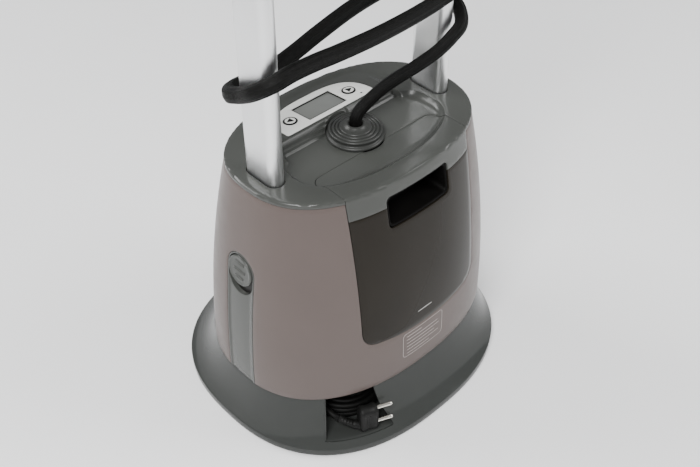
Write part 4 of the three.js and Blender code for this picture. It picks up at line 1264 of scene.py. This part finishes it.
def lid_line(out, z_end):
    """The line between lid and deck: up the left side, along the rear and down the right side."""
    half, rear, corner, front = TANK["half"] + out, TANK["rear"] + out, 11, -100
    left, right = lid_side(-1, out, z_end), lid_side(1, out, z_end)
    line = rounded([(-half, front), (-half, rear), (half, rear), (half, front)], [0, corner, corner, 0], 7)
    line = filled(line[1:-1], 2.5, closed=False)
    return np.vstack([left[::-1], between(left[0], line[0], 2.5), line,
                      between(line[-1], right[0], 2.5), right])


def open_region(outer, holes=()):
    """Where creases may run: inside an outline, outside its holes and clear of every edge."""
    loops = [outer, *holes]
    edges = np.concatenate([filled(loop, 1.0) for loop in loops])
    return lambda line: within(line, loops) & clear_of(line, edges, 0.9)


def upwards(_):
    return Vector((0, 0, 1))


def crown_creases(region):
    """Lines that carry the dish's lip and the console's steps, kept where the region wants them."""
    lines = []
    for inward in (-0.9, 0.0, 0.7, 1.6, 3.2, 5.5):
        low = ring(220, math.pi)[:111]
        for angles, reach, n in ((low, DISH["front"], 2.2), (low - math.pi, DISH["rear"], 4.0)):
            form = dict(a=DISH["a"], b=reach, n=n, y=DISH["y"])
            x, y = superellipse(form, angles, inward)
            lines.append(np.stack([x, y], -1))
    for y, _ in CONSOLE_STEPS:
        line = np.array([(x, y) for x in np.linspace(-88, 88, 120)])
        lines.append(line[np.hypot(line[:, 0], y - GLAND["y"]) > SEAT_R + 1.2])
    for r in (SEAT_R, SEAT_R + 0.25):
        seat = circle(0, GLAND["y"], r, 160)
        lines.append(seat[np.argsort(np.arctan2(seat[:, 1] - GLAND["y"], seat[:, 0]))])
    kept = []
    for line in lines:
        ok = region(line)
        run = []
        for p, good in zip(line, ok):
            if good and (not run or math.dist(p, run[-1]) < 6):
                run.append(p)
            elif len(run) > 3:
                kept.append(np.array(run))
                run = []
            else:
                run = []
        if len(run) > 3:
            kept.append(np.array(run))
    return kept


def panel_outline(grow):
    """The control panel: a straight front with eased corners and a bowed rear, in its own plane."""
    half, depth = PANEL["half"] + grow, PANEL["depth"] + grow
    arc = []
    for a in np.linspace(0, math.pi, 61):
        c, s = math.cos(a), math.sin(a)
        arc.append((half * math.copysign(abs(c) ** (2 / PANEL["n"]), c),
                    depth * abs(s) ** (2 / PANEL["n"])))
    ease = 1.6
    front = [(-half, ease), (-half + 0.4 * ease, 0.3 * ease - grow), (-half + ease, -grow),
             (half - ease, -grow), (half - 0.4 * ease, 0.3 * ease - grow), (half, ease)]
    arc = [p for p in arc if p[1] > ease]
    return np.array(front + arc)


def on_console(obj, y):
    """Sets a shape that was made flat at the origin on the console's tilted top."""
    z = CONSOLE["top"] - math.tan(CONSOLE["tilt"]) * (y - CONSOLE["crest"])
    return moved(obj, shift(0, y, z) @ Matrix.Rotation(-CONSOLE["tilt"], 4, "X"))


def tank_lid():
    z_end = TANK["top"] + 0.3
    half, high = GRIP["half"] + SEAM, GRIP["high"] + SEAM
    xs = np.linspace(TANK["half"], half, 16)[1:-1]
    right_low, left_low = ([side_at_x(s * x, z_end) for x in xs] for s in (1, -1))
    notch = rounded([(-half, z_end - 20), (-half, high), (half, high), (half, z_end - 20)],
                    [0, GRIP["corner"], GRIP["corner"], 0], 6)
    notch = filled(notch, 2.0, closed=False)
    notch = [side_at_x(x, max(z, z_end)) for x, z in notch if z > z_end - 1.0]
    outer = np.vstack([lid_line(0, z_end), right_low, notch[::-1], left_low[::-1]])
    gland = circle(0, GLAND["y"], SEAT_R, 90)
    keep = gland[gland[:, 1] < TANK["rear"] - 0.3]
    bite = keep[np.argsort(keep[:, 0])]
    outer = bitten(outer, bite, TANK["rear"])
    points, faces = sheet(outer, [], 3.6, on_crown, crown_creases(open_region(outer)))
    lid = shell("lid_cover", points, faces, 2.3, 0.45, outward=upwards)
    finish(lid, "grey_plastic", "lid", "tank_lid")


def bitten(outer, bite, level):
    """Puts a round bite into the stretch of an outline that runs along a level line."""
    low, high = bite[0][0], bite[-1][0]
    flat = (np.abs(outer[:, 1] - level) < 0.01) & (outer[:, 0] > low) & (outer[:, 0] < high)
    kept = np.flatnonzero(flat)
    ends = np.array([[low, level], [high, level]])
    return np.vstack([outer[:kept[0]], ends[:1], bite, ends[1:], outer[kept[-1] + 1:]])


def top_deck():
    z_end = BODY_TOP + 0.2
    seam = lid_line(SEAM, z_end)
    start, end = angle_on(RIM, *seam[-1]), angle_on(RIM, *seam[0]) + TAU
    around = [side_point(phi, crown_k(z_end)) for phi in np.linspace(start, end, 300)]
    outer = np.vstack([seam, around[1:-1]])
    gland = circle(0, GLAND["y"], GLAND["r"] - 2.5, 80)
    holes = [filled(obround(s * POLE["x"], POLE["y"], POLE["hx"] + 1.0, POLE["hy"] + 1.0), 2.0)
             for _, s in SIDES]
    recess = panel_outline(0.5)
    recess = np.stack([recess[:, 0], PANEL["y"] + recess[:, 1] * math.cos(CONSOLE["tilt"])], -1)
    holes.append(filled(recess, 2.0))
    level = TANK["rear"] + SEAM
    outer = bitten(outer, gland_arc(gland, level), level)
    points, faces = sheet(outer, holes, 3.4, on_crown, crown_creases(open_region(outer, holes)))
    deck = shell("deck_cover", points, faces, 2.4, 0.45, outward=upwards)
    finish(deck, "grey_plastic", "root", "top_deck")


def gland_arc(gland, level):
    """The part of the gland's hole behind a level line, going over the top from left to right."""
    upper = gland[gland[:, 1] > level + 0.2]
    angles = np.arctan2(upper[:, 1] - GLAND["y"], upper[:, 0])
    order = np.argsort(-((angles + math.pi / 2) % TAU))
    return upper[order]


# ------------------------------------------------------------------ console: panel, screen and buttons
def console_piece(name, outline, depths, edge, y, slot, body, *nodes, holes=()):
    """A flat piece with softened edges, set on the console."""
    piece = prism(name, outline, *depths, holes)
    if edge:
        settle(soften(piece, edge, 2, 50))
    finish(on_console(piece, y), slot, body, *nodes)


def control_panel():
    lcd_y, button_y = LCD["at"] - PANEL["y"], BUTTON["y"] - PANEL["y"]
    window = rect(-LCD["x"], LCD["x"], lcd_y - LCD["y"], lcd_y + LCD["y"], 0.8, 3)
    holes = [window] + [circle(s * BUTTON["x"], button_y, BUTTON["r"] + 0.35, 56) for _, s in SIDES]
    holes.append(circle(*LAMP, 1.3, 20))
    console_piece("panel", filled(panel_outline(0), 3), (-PANEL["thick"], 0), 0.22, PANEL["y"],
                  "silver_panel", "root", "panel_plate", holes=holes)
    console_piece("lamp", circle(*LAMP, 1.2, 20), (-1.5, -0.1), 0, PANEL["y"], "black_plastic", "root")

    def screen_rect(inset, r):
        x, y = LCD["x"] - 0.25 - inset, LCD["y"] - 0.25 - inset
        return rect(-x, x, -y, y, r, 3)

    console_piece("screen_gasket", screen_rect(0, 0.7), (-3.0, -0.35), 0.15, LCD["at"],
                  "black_plastic", "root", holes=[screen_rect(1.1, 0.6)])
    console_piece("screen_glass", screen_rect(1.15, 0.5), (-4.5, -1.15), 0.1, LCD["at"],
                  "screen", "root", "display")


def button(side, sign):
    """A key with a dark ring round it and a raised triangle that points outwards."""
    x, r = sign * BUTTON["x"], BUTTON["r"]
    profile = [(0, -9), (3, -9), (3, -3), (r + 1.1, -3), (r + 1.1, -2.2), (r, -2.2), (r, 0.05),
               (r - 0.25, 0.3), (r - 0.6, 0.4), (r - 2.4, 0.62), (0, 0.85)]
    key = turned(f"key_{side}", profile, 64, shift(x, 0, 0), 35)
    finish(on_console(key, BUTTON["y"]), "silver_panel", f"key_{side}", f"button_{side}")
    top, low = 0.62, 0.25
    ring_profile = [(r + 0.02, low - 0.6), (r + 0.02, top - 0.25), (r - 0.3, top - 0.05),
                    (r - 0.8, top + 0.03), (r - 1.7, top + 0.06), (r - 1.85, low)]
    mark = turned(f"key_ring_{side}", ring_profile, 64, shift(x, 0, 0), 35, closed=True)
    finish(on_console(mark, BUTTON["y"]), "black_plastic", f"key_{side}")
    reach = sign * 4.6
    corners = [(x + reach * math.cos(TAU * k / 3), reach * math.sin(TAU * k / 3)) for k in range(3)]
    console_piece(f"key_arrow_{side}", rounded(corners, 0.4, 4), (0.5, 1.05), 0.1, BUTTON["y"],
                  "black_plastic", f"key_{side}")


def hose_gland():
    """A turned boot: a rolled flange, stepped rings and a cone that holds the hose."""
    profile = [(0, 305), (13, 305), (13, 320.3), (29.6, 320.3), (30.3, 320.8), (30.5, 321.8),
               (30.2, 322.9), (29.4, 323.6), (28.3, 323.9), (27.7, 324.4), (27.5, 325.4), (27.6, 326.6),
               (28.2, 327.4), (28.4, 328.3), (28.0, 329.2), (27.0, 329.7), (26.0, 329.6), (25.5, 329.1),
               (25.2, 328.2), (24.5, 328.2), (24.2, 329.3), (23.5, 330.0), (22.4, 330.2), (21.7, 329.8),
               (21.4, 329.0), (20.7, 329.0), (20.4, 330.1), (19.7, 330.8), (18.7, 330.9), (18.0, 330.5),
               (17.8, 329.8), (17.0, 329.8), (16.7, 330.9), (16.0, 331.4), (15.0, 331.6), (13.4, 331.9),
               (11.6, 332.7), (10.2, 334.0), (9.1, 334.9), (8.0, 335.0), (7.4, 334.5), (7.3, 331.5),
               (0, 331.5)]
    boot = turned("gland_boot", profile, 128, shift(0, GLAND["y"], 0), 48)
    finish(boot, "dark_grey_plastic", "root", "hose_gland", look=LOOKS["gland_rubber"])


# ------------------------------------------------------------------ tank
def water_tank():
    """An open smoked container: its front on the casing, with a notch for the grip, and a tub behind."""
    top, rear = TANK["top"], TANK["rear"]
    loop = filled(tank_outline(0, top), 3.0, closed=False)
    half, low = GRIP["half"] + SEAM, GRIP["low"] - SEAM
    notch = rounded([(half, top + 10), (half, low), (-half, low), (-half, top + 10)],
                    [0, GRIP["corner"], GRIP["corner"], 0], 6)
    notch = np.array([p for p in filled(notch, 2.0, closed=False) if p[1] < top - 0.3])
    notch = np.vstack([[half, top], notch, [-half, top]])
    outline = np.vstack([loop, between(loop[-1], notch[0]), notch, between(notch[-1], loop[0])])
    points, faces = sheet(outline, [], 5.0, on_front)
    front = shell("tank_front", points, faces, TANK["wall"], 0.35)

    inset, spans = 0.6, 9            # the tub stands this far in; its flank is divided this often
    rim = filled(tank_outline(inset, top - 0.4), 3.0, closed=False)
    start = on_front(rim) + [0, 1.2, 0]
    rings = []
    for k in range(spans + 1):
        ring_k = start.copy()
        ring_k[:, 1] = mix(start[:, 1], rear, k / spans)
        rings.append(ring_k)
    count = len(rim)
    flank = [(i * count + j, i * count + j + 1, (i + 1) * count + j + 1, (i + 1) * count + j)
             for i in range(spans) for j in range(count - 1)]

    def on_rear(flat):
        return np.column_stack([flat[:, 0], np.full(len(flat), rear), flat[:, 1]])

    back, back_faces = sheet(np.vstack([rim, between(rim[-1], rim[0])]), [], 12.0, on_rear)
    first = count * (spans + 1)
    mesh = soft_mesh("tank_tub", np.vstack([*rings, back]),
                     flank + [tuple(k + first for k in f) for f in back_faces])
    close_up(mesh, 0.05)
    last = max(mesh.polygons, key=lambda p: p.center.y)
    if last.normal.y < 0:
        mesh.flip_normals()
    tub = make("tank_tub", mesh)
    skin = tub.modifiers.new("wall", "SOLIDIFY")
    skin.thickness, skin.offset = (TANK["wall"] - inset) * MM, 1
    settle(tub, 35)
    carve(tub, rod("outlet", 5.8, (0, VALVE_Y, 125), (0, VALVE_Y, 150), 32))
    finish(front, "smoked_plastic", "tank", "water_tank")
    finish(tub, "smoked_plastic", "tank")
    boss = prism("valve_boss", circle(0, VALVE_Y, 10, 40), 130.6, 145.5, [circle(0, VALVE_Y, 6, 32)])
    settle(soften(boss, 0.5, 2, 40))
    finish(boss, "smoked_plastic", "tank")


def printed(name, outline, holes, lift, body, look):
    """A thin print on the casing's front, from (x, z) outlines."""
    points, faces = sheet(filled(outline, 1.5), [filled(h, 1.5) for h in holes], 4.0,
                          lambda flat: on_front(flat, -lift))
    ink = shell(name, points, faces, 0.1, 0)
    finish(ink, "white_plastic", body, look=look)


def prints():
    """A level line on the tank, and a plain frame with blank lines below it."""
    pale = print_ink("pale_print", (0.5, 0.5, 0.48))
    printed("level_line", rect(-13.2, 7.4, 151.6, 152.4, 0.3, 2), [], 0.15, "tank", pale)
    faint = print_ink("faint_print", (0.42, 0.38, 0.36))
    left, right, low, high, line = -35.5, 25.6, 94.0, 129.5, 0.45
    inner = rect(left + line, right - line, low + line, high - line, 4.1, 5)
    printed("label_frame", rect(left, right, low, high, 4.5, 5), [inner], 0.12, "root", faint)
    for row, end in enumerate((-8, 18, 20, 12, 19, 4)):
        z = 124.2 - 5.1 * row
        bar = rect(-30, end, z - 0.28, z + 0.28, 0.2, 2)
        printed(f"label_line_{row + 1}", bar, [], 0.12, "root", faint)


def grip_cup():
    """The finger grip: a black cup whose rim follows the casing's front."""
    sunk, rear, bottom, gap = 1.0, -80.0, -82.5, 0.05
    outer = filled(rect(gap - GRIP["half"], GRIP["half"] - gap, GRIP["low"] + gap, GRIP["high"] - gap,
                        GRIP["corner"]), 2.5)
    count = len(outer)

    def matched(grow):
        middle = np.array([0, (GRIP["low"] + GRIP["high"]) / 2])
        span = np.array([GRIP["half"], (GRIP["high"] - GRIP["low"]) / 2])
        return middle + (outer - middle) * (span + grow) / span

    def at_depth(flat, y):
        return np.column_stack([flat[:, 0], np.full(count, y), flat[:, 1]])

    lip = ((-0.25, 0.25), (-0.8, 0), (-1.5, 0.15), (-2.0, 0.7), (-2.3, 1.8))     # grow, depth
    bowl = ((-2.8, 6), (-3.6, 2.5), (-6.0, 0.6), (-9.0, 0))                      # grow, rise
    rings = [at_depth(outer, rear), on_front(outer, sunk + 0.8)]
    rings += [on_front(matched(grow), sunk + deep) for grow, deep in lip]
    rings += [at_depth(matched(grow), bottom - rise) for grow, rise in bowl]
    cup = loft("finger_grip", rings)
    shade(cup.data, 50)
    # the cup takes a darker, duller black than the black plastic: painted shade inside the recess
    finish(cup, "black_plastic", "tank", "grip_cup", look=LOOKS["grip_painted_shade"])


# ------------------------------------------------------------------ plug and strain relief
def bay_matrix():
    return shift(BAY["x"], BAY["y"], 0) @ Matrix.Rotation(BAY["angle"], 4, "Z")


def plug():
    """A round-pin plug: a waisted block with grip ribs, a face plate, two pins and a ribbed tail."""
    v, z, u0, u1 = PLUG["v"], PLUG["z"], PLUG["u0"], PLUG["u1"]

    def section(grow, r):
        return rect(v - PLUG["half"] - grow, v + PLUG["half"] + grow, z - PLUG["tall"] - grow,
                    z + PLUG["tall"] + grow, r, 8)

    stations = [(0.0, -3.2, 5.5), (0.6, -1.6, 6.5), (1.8, -0.5, 7.4), (4.0, 0.0, 8.0), (8.0, -0.9, 7.4),
                (12.0, -1.0, 7.4), (16.0, -0.3, 7.8), (18.2, 0.0, 8.0), (18.9, -0.3, 7.8),
                (19.0, -1.1, 7.2), (20.6, -1.2, 7.1), (21.0, -1.8, 6.6)]
    rings = []
    for at, grow, r in stations:
        flat = section(grow, r)
        rings.append(np.column_stack([np.full(len(flat), u0 + at), flat]))
    body = loft("plug_block", rings)
    shade(body.data, 50)
    for side in (-1, 1):
        for k in range(4):
            rib = prism("rib", rect(u0 + 5.2 + 2.6 * k, u0 + 6.4 + 2.6 * k, z - 8, z + 10, 0.5, 3),
                        v + side * 7.4 - 0.7, v + side * 7.4 + 0.7, axis="y")
            weld(body, rib)
    tail_path, reach = route(TAIL, 1.0)
    grooved_from, groove_pitch, groove_depth = 11, 3.6, 0.75

    def section_at(_, along):
        taper = mix(5.9, 4.5, along / reach)
        if along <= grooved_from:
            return taper
        wave = 0.5 * (1 + math.cos(TAU * (along - grooved_from) / groove_pitch)) - 1
        return taper + groove_depth * wave

    tail = sleeve("plug_tail", tail_path, section_at, 32, (0, 0, 1))
    weld(body, tail)
    shade(body.data, 40)
    pieces = [finish(moved(body, bay_matrix()), "black_rubber", "root", "plug_body")]
    for where, up, out in (("upper", 13.1, 0.0), ("lower", -5.9, 3.4)):
        r, length = 2.4, PLUG["pin"]
        pin_profile = [(0, 0.3), (r, 0.3), (r, length - 2.2), (r - 0.25, length - 1.2),
                       (r - 0.9, length - 0.3), (r - 1.7, length), (0, length)]
        place = bay_matrix() @ shift(u1, v - out, z + up) @ Matrix.Rotation(math.pi / 2, 4, "Y")
        pin = turned(f"pin_{where}", pin_profile, 32, place, 50)
        pieces.append(finish(pin, "plug_pins", "root", f"plug_pin_{where}"))
    return pieces


def cord_relief():
    """The tapered, ribbed boot where the mains lead leaves the bay's rear wall."""
    profile = [(0, 0), (7.5, 0), (7.5, 2.5), (4.9, 2.5), (4.9, 5), (7, 5), (7.2, 5.6)]
    profile += ribbed(6, 6.2, 3.9, 6.9, -0.4, [(0, 0), (-0.15, 2.3), (-1.3, 2.7), (-1.3, 3.4)])
    profile += [(4.5, 29.6), (4.0, 30), (0, 30)]
    place = (bay_matrix() @ shift(RELIEF["u"], BAY["depth"] + 4.7, RELIEF["z"])
             @ Matrix.Rotation(math.pi / 2, 4, "X"))
    boot = turned("relief_boot", profile, 40, place)
    return finish(boot, "black_rubber", "root", "cord_relief")


# ------------------------------------------------------------------ steam head
# half width, half depth, squareness, centre y, height
HEAD_FORM = [
    (11.5, 11.5, 2.0, -60, 620), (13.5, 14.0, 2.0, -60, 632), (16.0, 17.0, 2.1, -60, 668),
    (16.5, 18.0, 2.2, -60, 705), (15.5, 16.5, 2.1, -60, 740), (14.5, 14.5, 2.0, -60, 758),
    (15.0, 14.8, 2.1, -60, 770.5), (27.0, 19.0, 2.4, -61, 779), (48.0, 24.0, 2.8, -64, 790),
    (59.0, 27.0, 3.2, -66, 803), (61.0, 28.0, 3.3, -67, 818), (57.0, 26.0, 3.2, -67, 831),
    (44.0, 19.0, 2.8, -66, 838), (22.0, 9.0, 2.2, -66, 840),
]


def monotone(at, xs, ys):
    """A smooth curve through points that never overshoots them."""
    xs, ys = np.asarray(xs, float), np.asarray(ys, float)
    d = np.diff(ys) / np.diff(xs)
    m = np.concatenate([[d[0]], np.where(d[:-1] * d[1:] > 0, 2 * d[:-1] * d[1:]
                                         / np.where(d[:-1] + d[1:] == 0, 1, d[:-1] + d[1:]), 0), [d[-1]]])
    i = np.clip(np.searchsorted(xs, at) - 1, 0, len(xs) - 2)
    h = xs[i + 1] - xs[i]
    t = (at - xs[i]) / h
    return ((2 * t ** 3 - 3 * t ** 2 + 1) * ys[i] + (t ** 3 - 2 * t ** 2 + t) * h * m[i]
            + (3 * t ** 2 - 2 * t ** 3) * ys[i + 1] + (t ** 3 - t ** 2) * h * m[i + 1])


def steam_head():
    table = np.array(HEAD_FORM)
    steps = np.arange(len(table), dtype=float)
    count, sides = 92, 72
    at = np.linspace(0, len(table) - 1, count)
    rings = []
    for a, b, n, y, z in zip(*(monotone(at, steps, column) for column in table.T)):
        px, py = superellipse(dict(a=a, b=b, n=n, y=y), ring(sides))
        rings.append(np.stack([px, py, np.full(sides, z)], -1))
    head = loft("head_body", rings)
    face = block("cut_face", -90, 90, -130, HEAD_FACE, 770, 850)
    pocket = prism("cut_pocket", rect(-7.7, 7.7, 704.6, 753, 3, 5), -100, -68.2, axis="y")
    carve(head, face, pocket, rod_across("cut_bore", 1.9, 11, *TRIGGER_PIN))
    settle(soften(head, 0.5, 2, 42), 42)
    finish(head, "silver_panel", "root", "head_shell")


def faceplate():
    """The polished steam plate: ten holes in two rows, with shallow channels that join them."""
    def oval(a, b):
        x, y = superellipse(dict(a=a, b=b, n=3.0, y=STEAM_PLATE["z"]), ring(96))
        return np.stack([x, y], -1)

    low, high = STEAM_PLATE["rows"]
    holes = [circle(STEAM_PLATE["pitch"] * k, z, 2.0, 24) for k in range(-2, 3) for z in (low, high)]
    plate = prism("steam_plate", oval(STEAM_PLATE["a"], STEAM_PLATE["b"]), STEAM_PLATE["front"],
                  STEAM_PLATE["rear"], holes, axis="y")
    channels = [prism("channel", rect(-36, 36, z - 0.7, z + 0.7, 0.7, 4), STEAM_PLATE["front"] - 2.3,
                      STEAM_PLATE["front"] + 0.4, axis="y") for z in (low, STEAM_PLATE["z"], high)]
    carve(plate, *channels)
    settle(soften(plate, 0.4, 2, 45), 40)
    finish(plate, "bright_steel", "root", "head_faceplate")


def trigger():
    """A bowed lever on a cross pin, with four thin ribs where the finger pulls."""
    high, low, back = 751.7, 706.5, -70.0
    outline = np.vstack([
        [(back - 1, high)], curve((back - 7, high), (back - 13, 730), (back - 11.5, low)),
        curve((back - 7.5, low), (back - 5, 732), (back - 1, high))[:-1]])
    lever = prism("trigger_lever", outline, -7, 7, axis="x")
    ribs = [rod_across("rib", 0.7, 5.5, back - 11.6 - 0.15 * k, 716 + 3.6 * k, 12) for k in range(4)]
    settle(soften(lever, 1.3, 3, 50), 45)
    weld(lever, rod_across("pin", 1.6, 9.5, *TRIGGER_PIN), *ribs)
    finish(lever, "black_plastic", "trigger", "head_trigger")


def hose_cuff():
    profile = [(0, 585), (8.9, 585), (9.6, 585.6)]
    profile += ribbed(5, 587, 4.4, 9.9, 0.5, [(0, 0), (0.15, 2.6), (-0.9, 3.0), (-0.9, 3.8)])
    profile += [(12.2, 609.6), (12.6, 610.4), (12.6, 618.6), (12.2, 619.6), (0, 619.7)]
    cuff = turned("head_cuff", profile, 64, shift(0, HEAD_Y, 0))
    return finish(cuff, "black_rubber", "root", "hose_cuff")


# ------------------------------------------------------------------ fittings at the poles' top
def tube_cut(x, size, gap, z0, z1):
    """A flat tube's place, cut with a gap all round."""
    return prism("cut", obround(x, POLE["y"], size["hx"] + gap, size["hy"] + gap, 20), z0, z1)


def pole_bridge():
    """The bar that joins the poles, with a collar and a lever's ears on each, and the cradle's mount."""
    y = POLE["y"]
    bar = prism("bridge", rect(y - 9, y + 9, BRIDGE["low"], BRIDGE["high"], 6, 8),
                -BRIDGE["half"], BRIDGE["half"], axis="x")
    parts = [block("mount", -13, 13, y - 13, y - 5, CRADLE["low"], 782, 2)]
    for _, sign in SIDES:
        x = sign * POLE["x"]
        parts.append(prism("collar", obround(x, y, 14, 28, 20), BRIDGE["collar_low"],
                           BRIDGE["collar_high"]))
        inner, outer, low, high = sign * 124, sign * 139, 780, BRIDGE["collar_high"]
        ear = rounded([(inner, low), (outer, low), (outer, high), (inner, high)], [0, 4, 5, 0], 6)
        for at in (y - 13, y + 13):
            parts.append(prism("ear", ear, at - 1.6, at + 1.6, axis="y"))
    weld(bar, *parts)
    cuts = []
    for _, sign in SIDES:
        x = sign * POLE["x"]
        cuts += [tube_cut(x, POLE, 0.4, 740, 780.4), tube_cut(x, INNER, 0.4, 770, 800),
                 rod_deep("cut", 2.3, sign * CLAMP_PIN[0], 20, CLAMP_PIN[1])]
    carve(bar, *cuts)
    settle(soften(bar, 0.9, 3, 40), 40)
    finish(bar, "black_plastic", "root", "pole_bridge")


def clamp_lever(side, sign):
    """A cam lever: a pivot barrel, a waisted plate and a turned-out finger tip with ribs."""
    y, pin_x, pin_z = POLE["y"], sign * CLAMP_PIN[0], CLAMP_PIN[1]
    plate = prism(f"lever_{side}", rounded([(sign * 129.6, 750), (sign * 134, 750), (sign * 134, 786),
                                            (sign * 129.6, 786)], 1.2, 4), y - 11, y + 11, axis="y")
    tip = prism("tip", rounded([(sign * 131, 744), (sign * 138, 744), (sign * 138, 748),
                                (sign * 134, 753), (sign * 130, 753)], 1.4, 4), y - 11, y + 11, axis="y")
    barrel = rod_deep("barrel", 4.4, pin_x, 11, pin_z, 36)
    pin = rod_deep("pin", 2, pin_x, 14.4, pin_z)
    rib_from, rib_to = sorted((sign * 133.6, sign * 134.5))
    ribs = [prism("rib", rect(y - 7, y + 7, 758 + 4 * k, 759.4 + 4 * k, 0.6, 4), rib_from, rib_to,
                  axis="x") for k in range(4)]
    weld(plate, tip, barrel, pin, *ribs)
    settle(soften(plate, 0.45, 2, 45), 40)
    finish(plate, "grey_plastic", f"clamp_{side}", f"clamp_lever_{side}")


def head_cradle():
    y = POLE["y"]
    half, front, rear = CRADLE["fork"], CRADLE["front"], CRADLE["rear"]
    left = [(-half, rear), (-half, front + 6), (6 - half, front), (12 - half, front + 6),
            (12 - half, -58), (-12, -46)]
    right = [(-x, y) for x, y in left[::-1]]
    radii = [3, 4, 5, 4, 8, 6]
    fork = rounded([*left, (0, -42), *right], [*radii, 12, *radii[::-1]], 6)[::-1]
    cradle = prism("cradle", fork, CRADLE["low"], CRADLE["high"])
    parts = [block("lower", -13, 13, -32, y - 13.3, 752, 765, 1.5),
             block("upper", -13, 13, -32, y - 13.3, 768, 782, 1.5)]
    for x in (-24, 24):
        parts.append(prism("lip", rect(x - 5, x + 5, 767, 774, 2.2, 5), -88, -84.5, axis="y"))
    weld(cradle, *parts)
    settle(soften(cradle, 0.8, 3, 40), 40)
    finish(cradle, "black_plastic", "root", "head_cradle")


def hanger_bar():
    y = POLE["y"]
    bar = prism("hanger", rect(y - 13, y + 13, HANGER["low"], HANGER["high"], 8, 10),
                -HANGER["half"], HANGER["half"], axis="x")
    parts, cuts = [], []
    for _, sign in SIDES:
        x, hinge = sign * POLE["x"], sign * HANGER_PIN[0]
        parts.append(prism("socket", obround(x, y, 11.5, 25.5, 20), HANGER["socket_low"],
                           HANGER["socket_high"]))
        lug = rounded([(hinge - 5, 866), (hinge + 5, 866), (hinge + 5, 883), (hinge - 5, 883)],
                      [0, 0, 4.6, 4.6], 8)
        for at in (y - 10.5, y + 10.5):
            parts.append(prism("lug", lug, at - 1.8, at + 1.8, axis="y"))
        cuts += [tube_cut(x, INNER, 0.3, 800, 842.3), rod_deep("cut", 2.3, hinge, 20, HANGER_PIN[1])]
    weld(bar, *parts)
    carve(bar, *cuts)
    settle(soften(bar, 1.0, 3, 40), 40)
    finish(bar, "black_plastic", "mast", "hanger_bar")


def hanger_arm(side, sign):
    """A folding shoulder: a tapered bar with a non-slip ribbed top and a turned-up tip."""
    y, at, pin_z, reach, half = POLE["y"], sign * HANGER_PIN[0], HANGER_PIN[1], 104, 8
    root_top, tip_top = 882.4, 880.4
    tip, beyond = at - sign * reach, at - sign * reach + sign * 8
    bar = rounded([(at, 873.6), (tip, 874.6), (tip, tip_top), (at, root_top)], 1.2, 4)
    arm = prism(f"shoulder_{side}", bar, y - half, y + half, axis="y")
    end = rounded([(tip, 872), (beyond, 872), (beyond, 884), (tip, 884)], 2.4, 6)
    weld(arm, prism("end", end, y - half, y + half, axis="y"),
         rod_deep("barrel", 4.6, at, half, pin_z, 36), rod_deep("pin", 2, at, 12, pin_z))
    slots = []
    for out in range(18, 83, 8):
        x, top = at - sign * out, mix(root_top, tip_top, out / reach)
        slots.append(prism("slot", rect(x - 1.5, x + 1.5, y - 6, y + 6, 1.4, 4), top - 0.9, top + 3))
    carve(arm, *slots)
    settle(soften(arm, 0.6, 2, 45), 40)
    finish(arm, "grey_plastic", f"hanger_{side}", f"hanger_arm_{side}")


# ------------------------------------------------------------------ CAD nodes that keep their shape
KEPT = {
    "dark_grey_plastic": ("base_plate", "cord_bay"),
    "black_plastic": ("chassis_plate", "tank_well", "pole_socket_left", "pole_socket_right"),
    "black_rubber": ("valve_seat", "steam_pipe", "water_tube", "feed_tube"),
    "cast_metal": ("boiler",),
    "bright_steel": ("heating_element", "valve_spring", "latch_spring_left", "latch_spring_right"),
    "white_plastic": ("pump", "valve_plunger"),
    "circuit_board": ("control_board",),
}


def dress_kept_nodes():
    for slot, names in KEPT.items():
        for name in names:
            obj = NODES[name]
            obj.data.materials.clear()
            obj.data.materials.append(LOOKS[slot])
            shade(obj.data, 35)


# ------------------------------------------------------------------ the scene
place_camera()
LOOKS = make_looks()
hose, hose_path, hose_length = steam_hose()
lead, lead_path, lead_length = mains_cord()
plug_pieces = plug()
relief = cord_relief()
cuff = hose_cuff()
print("hose", round(hose_length), "mm; mains lead", round(lead_length), "mm")

base_skirt()
for name, place in FEET.items():
    foot(name, *place)
body_shell()
top_deck()
tank_lid()
control_panel()
hose_gland()
water_tank()
grip_cup()
prints()
poles()
for side, sign in SIDES:
    side_strip(side, sign)
    pole_latch(side, sign)
    button(side, sign)
    clamp_lever(side, sign)
    hanger_arm(side, sign)
pole_bridge()
head_cradle()
steam_head()
faceplate()
trigger()
hanger_bar()
dress_kept_nodes()

floor = prism("floor", rect(-FLOOR_REACH, FLOOR_REACH, -FLOOR_REACH, FLOOR_REACH, 500, 8),
              -FLOOR_THICK, FLOOR_TOP)
floor.data.materials.append(floor_look())
light_studio()
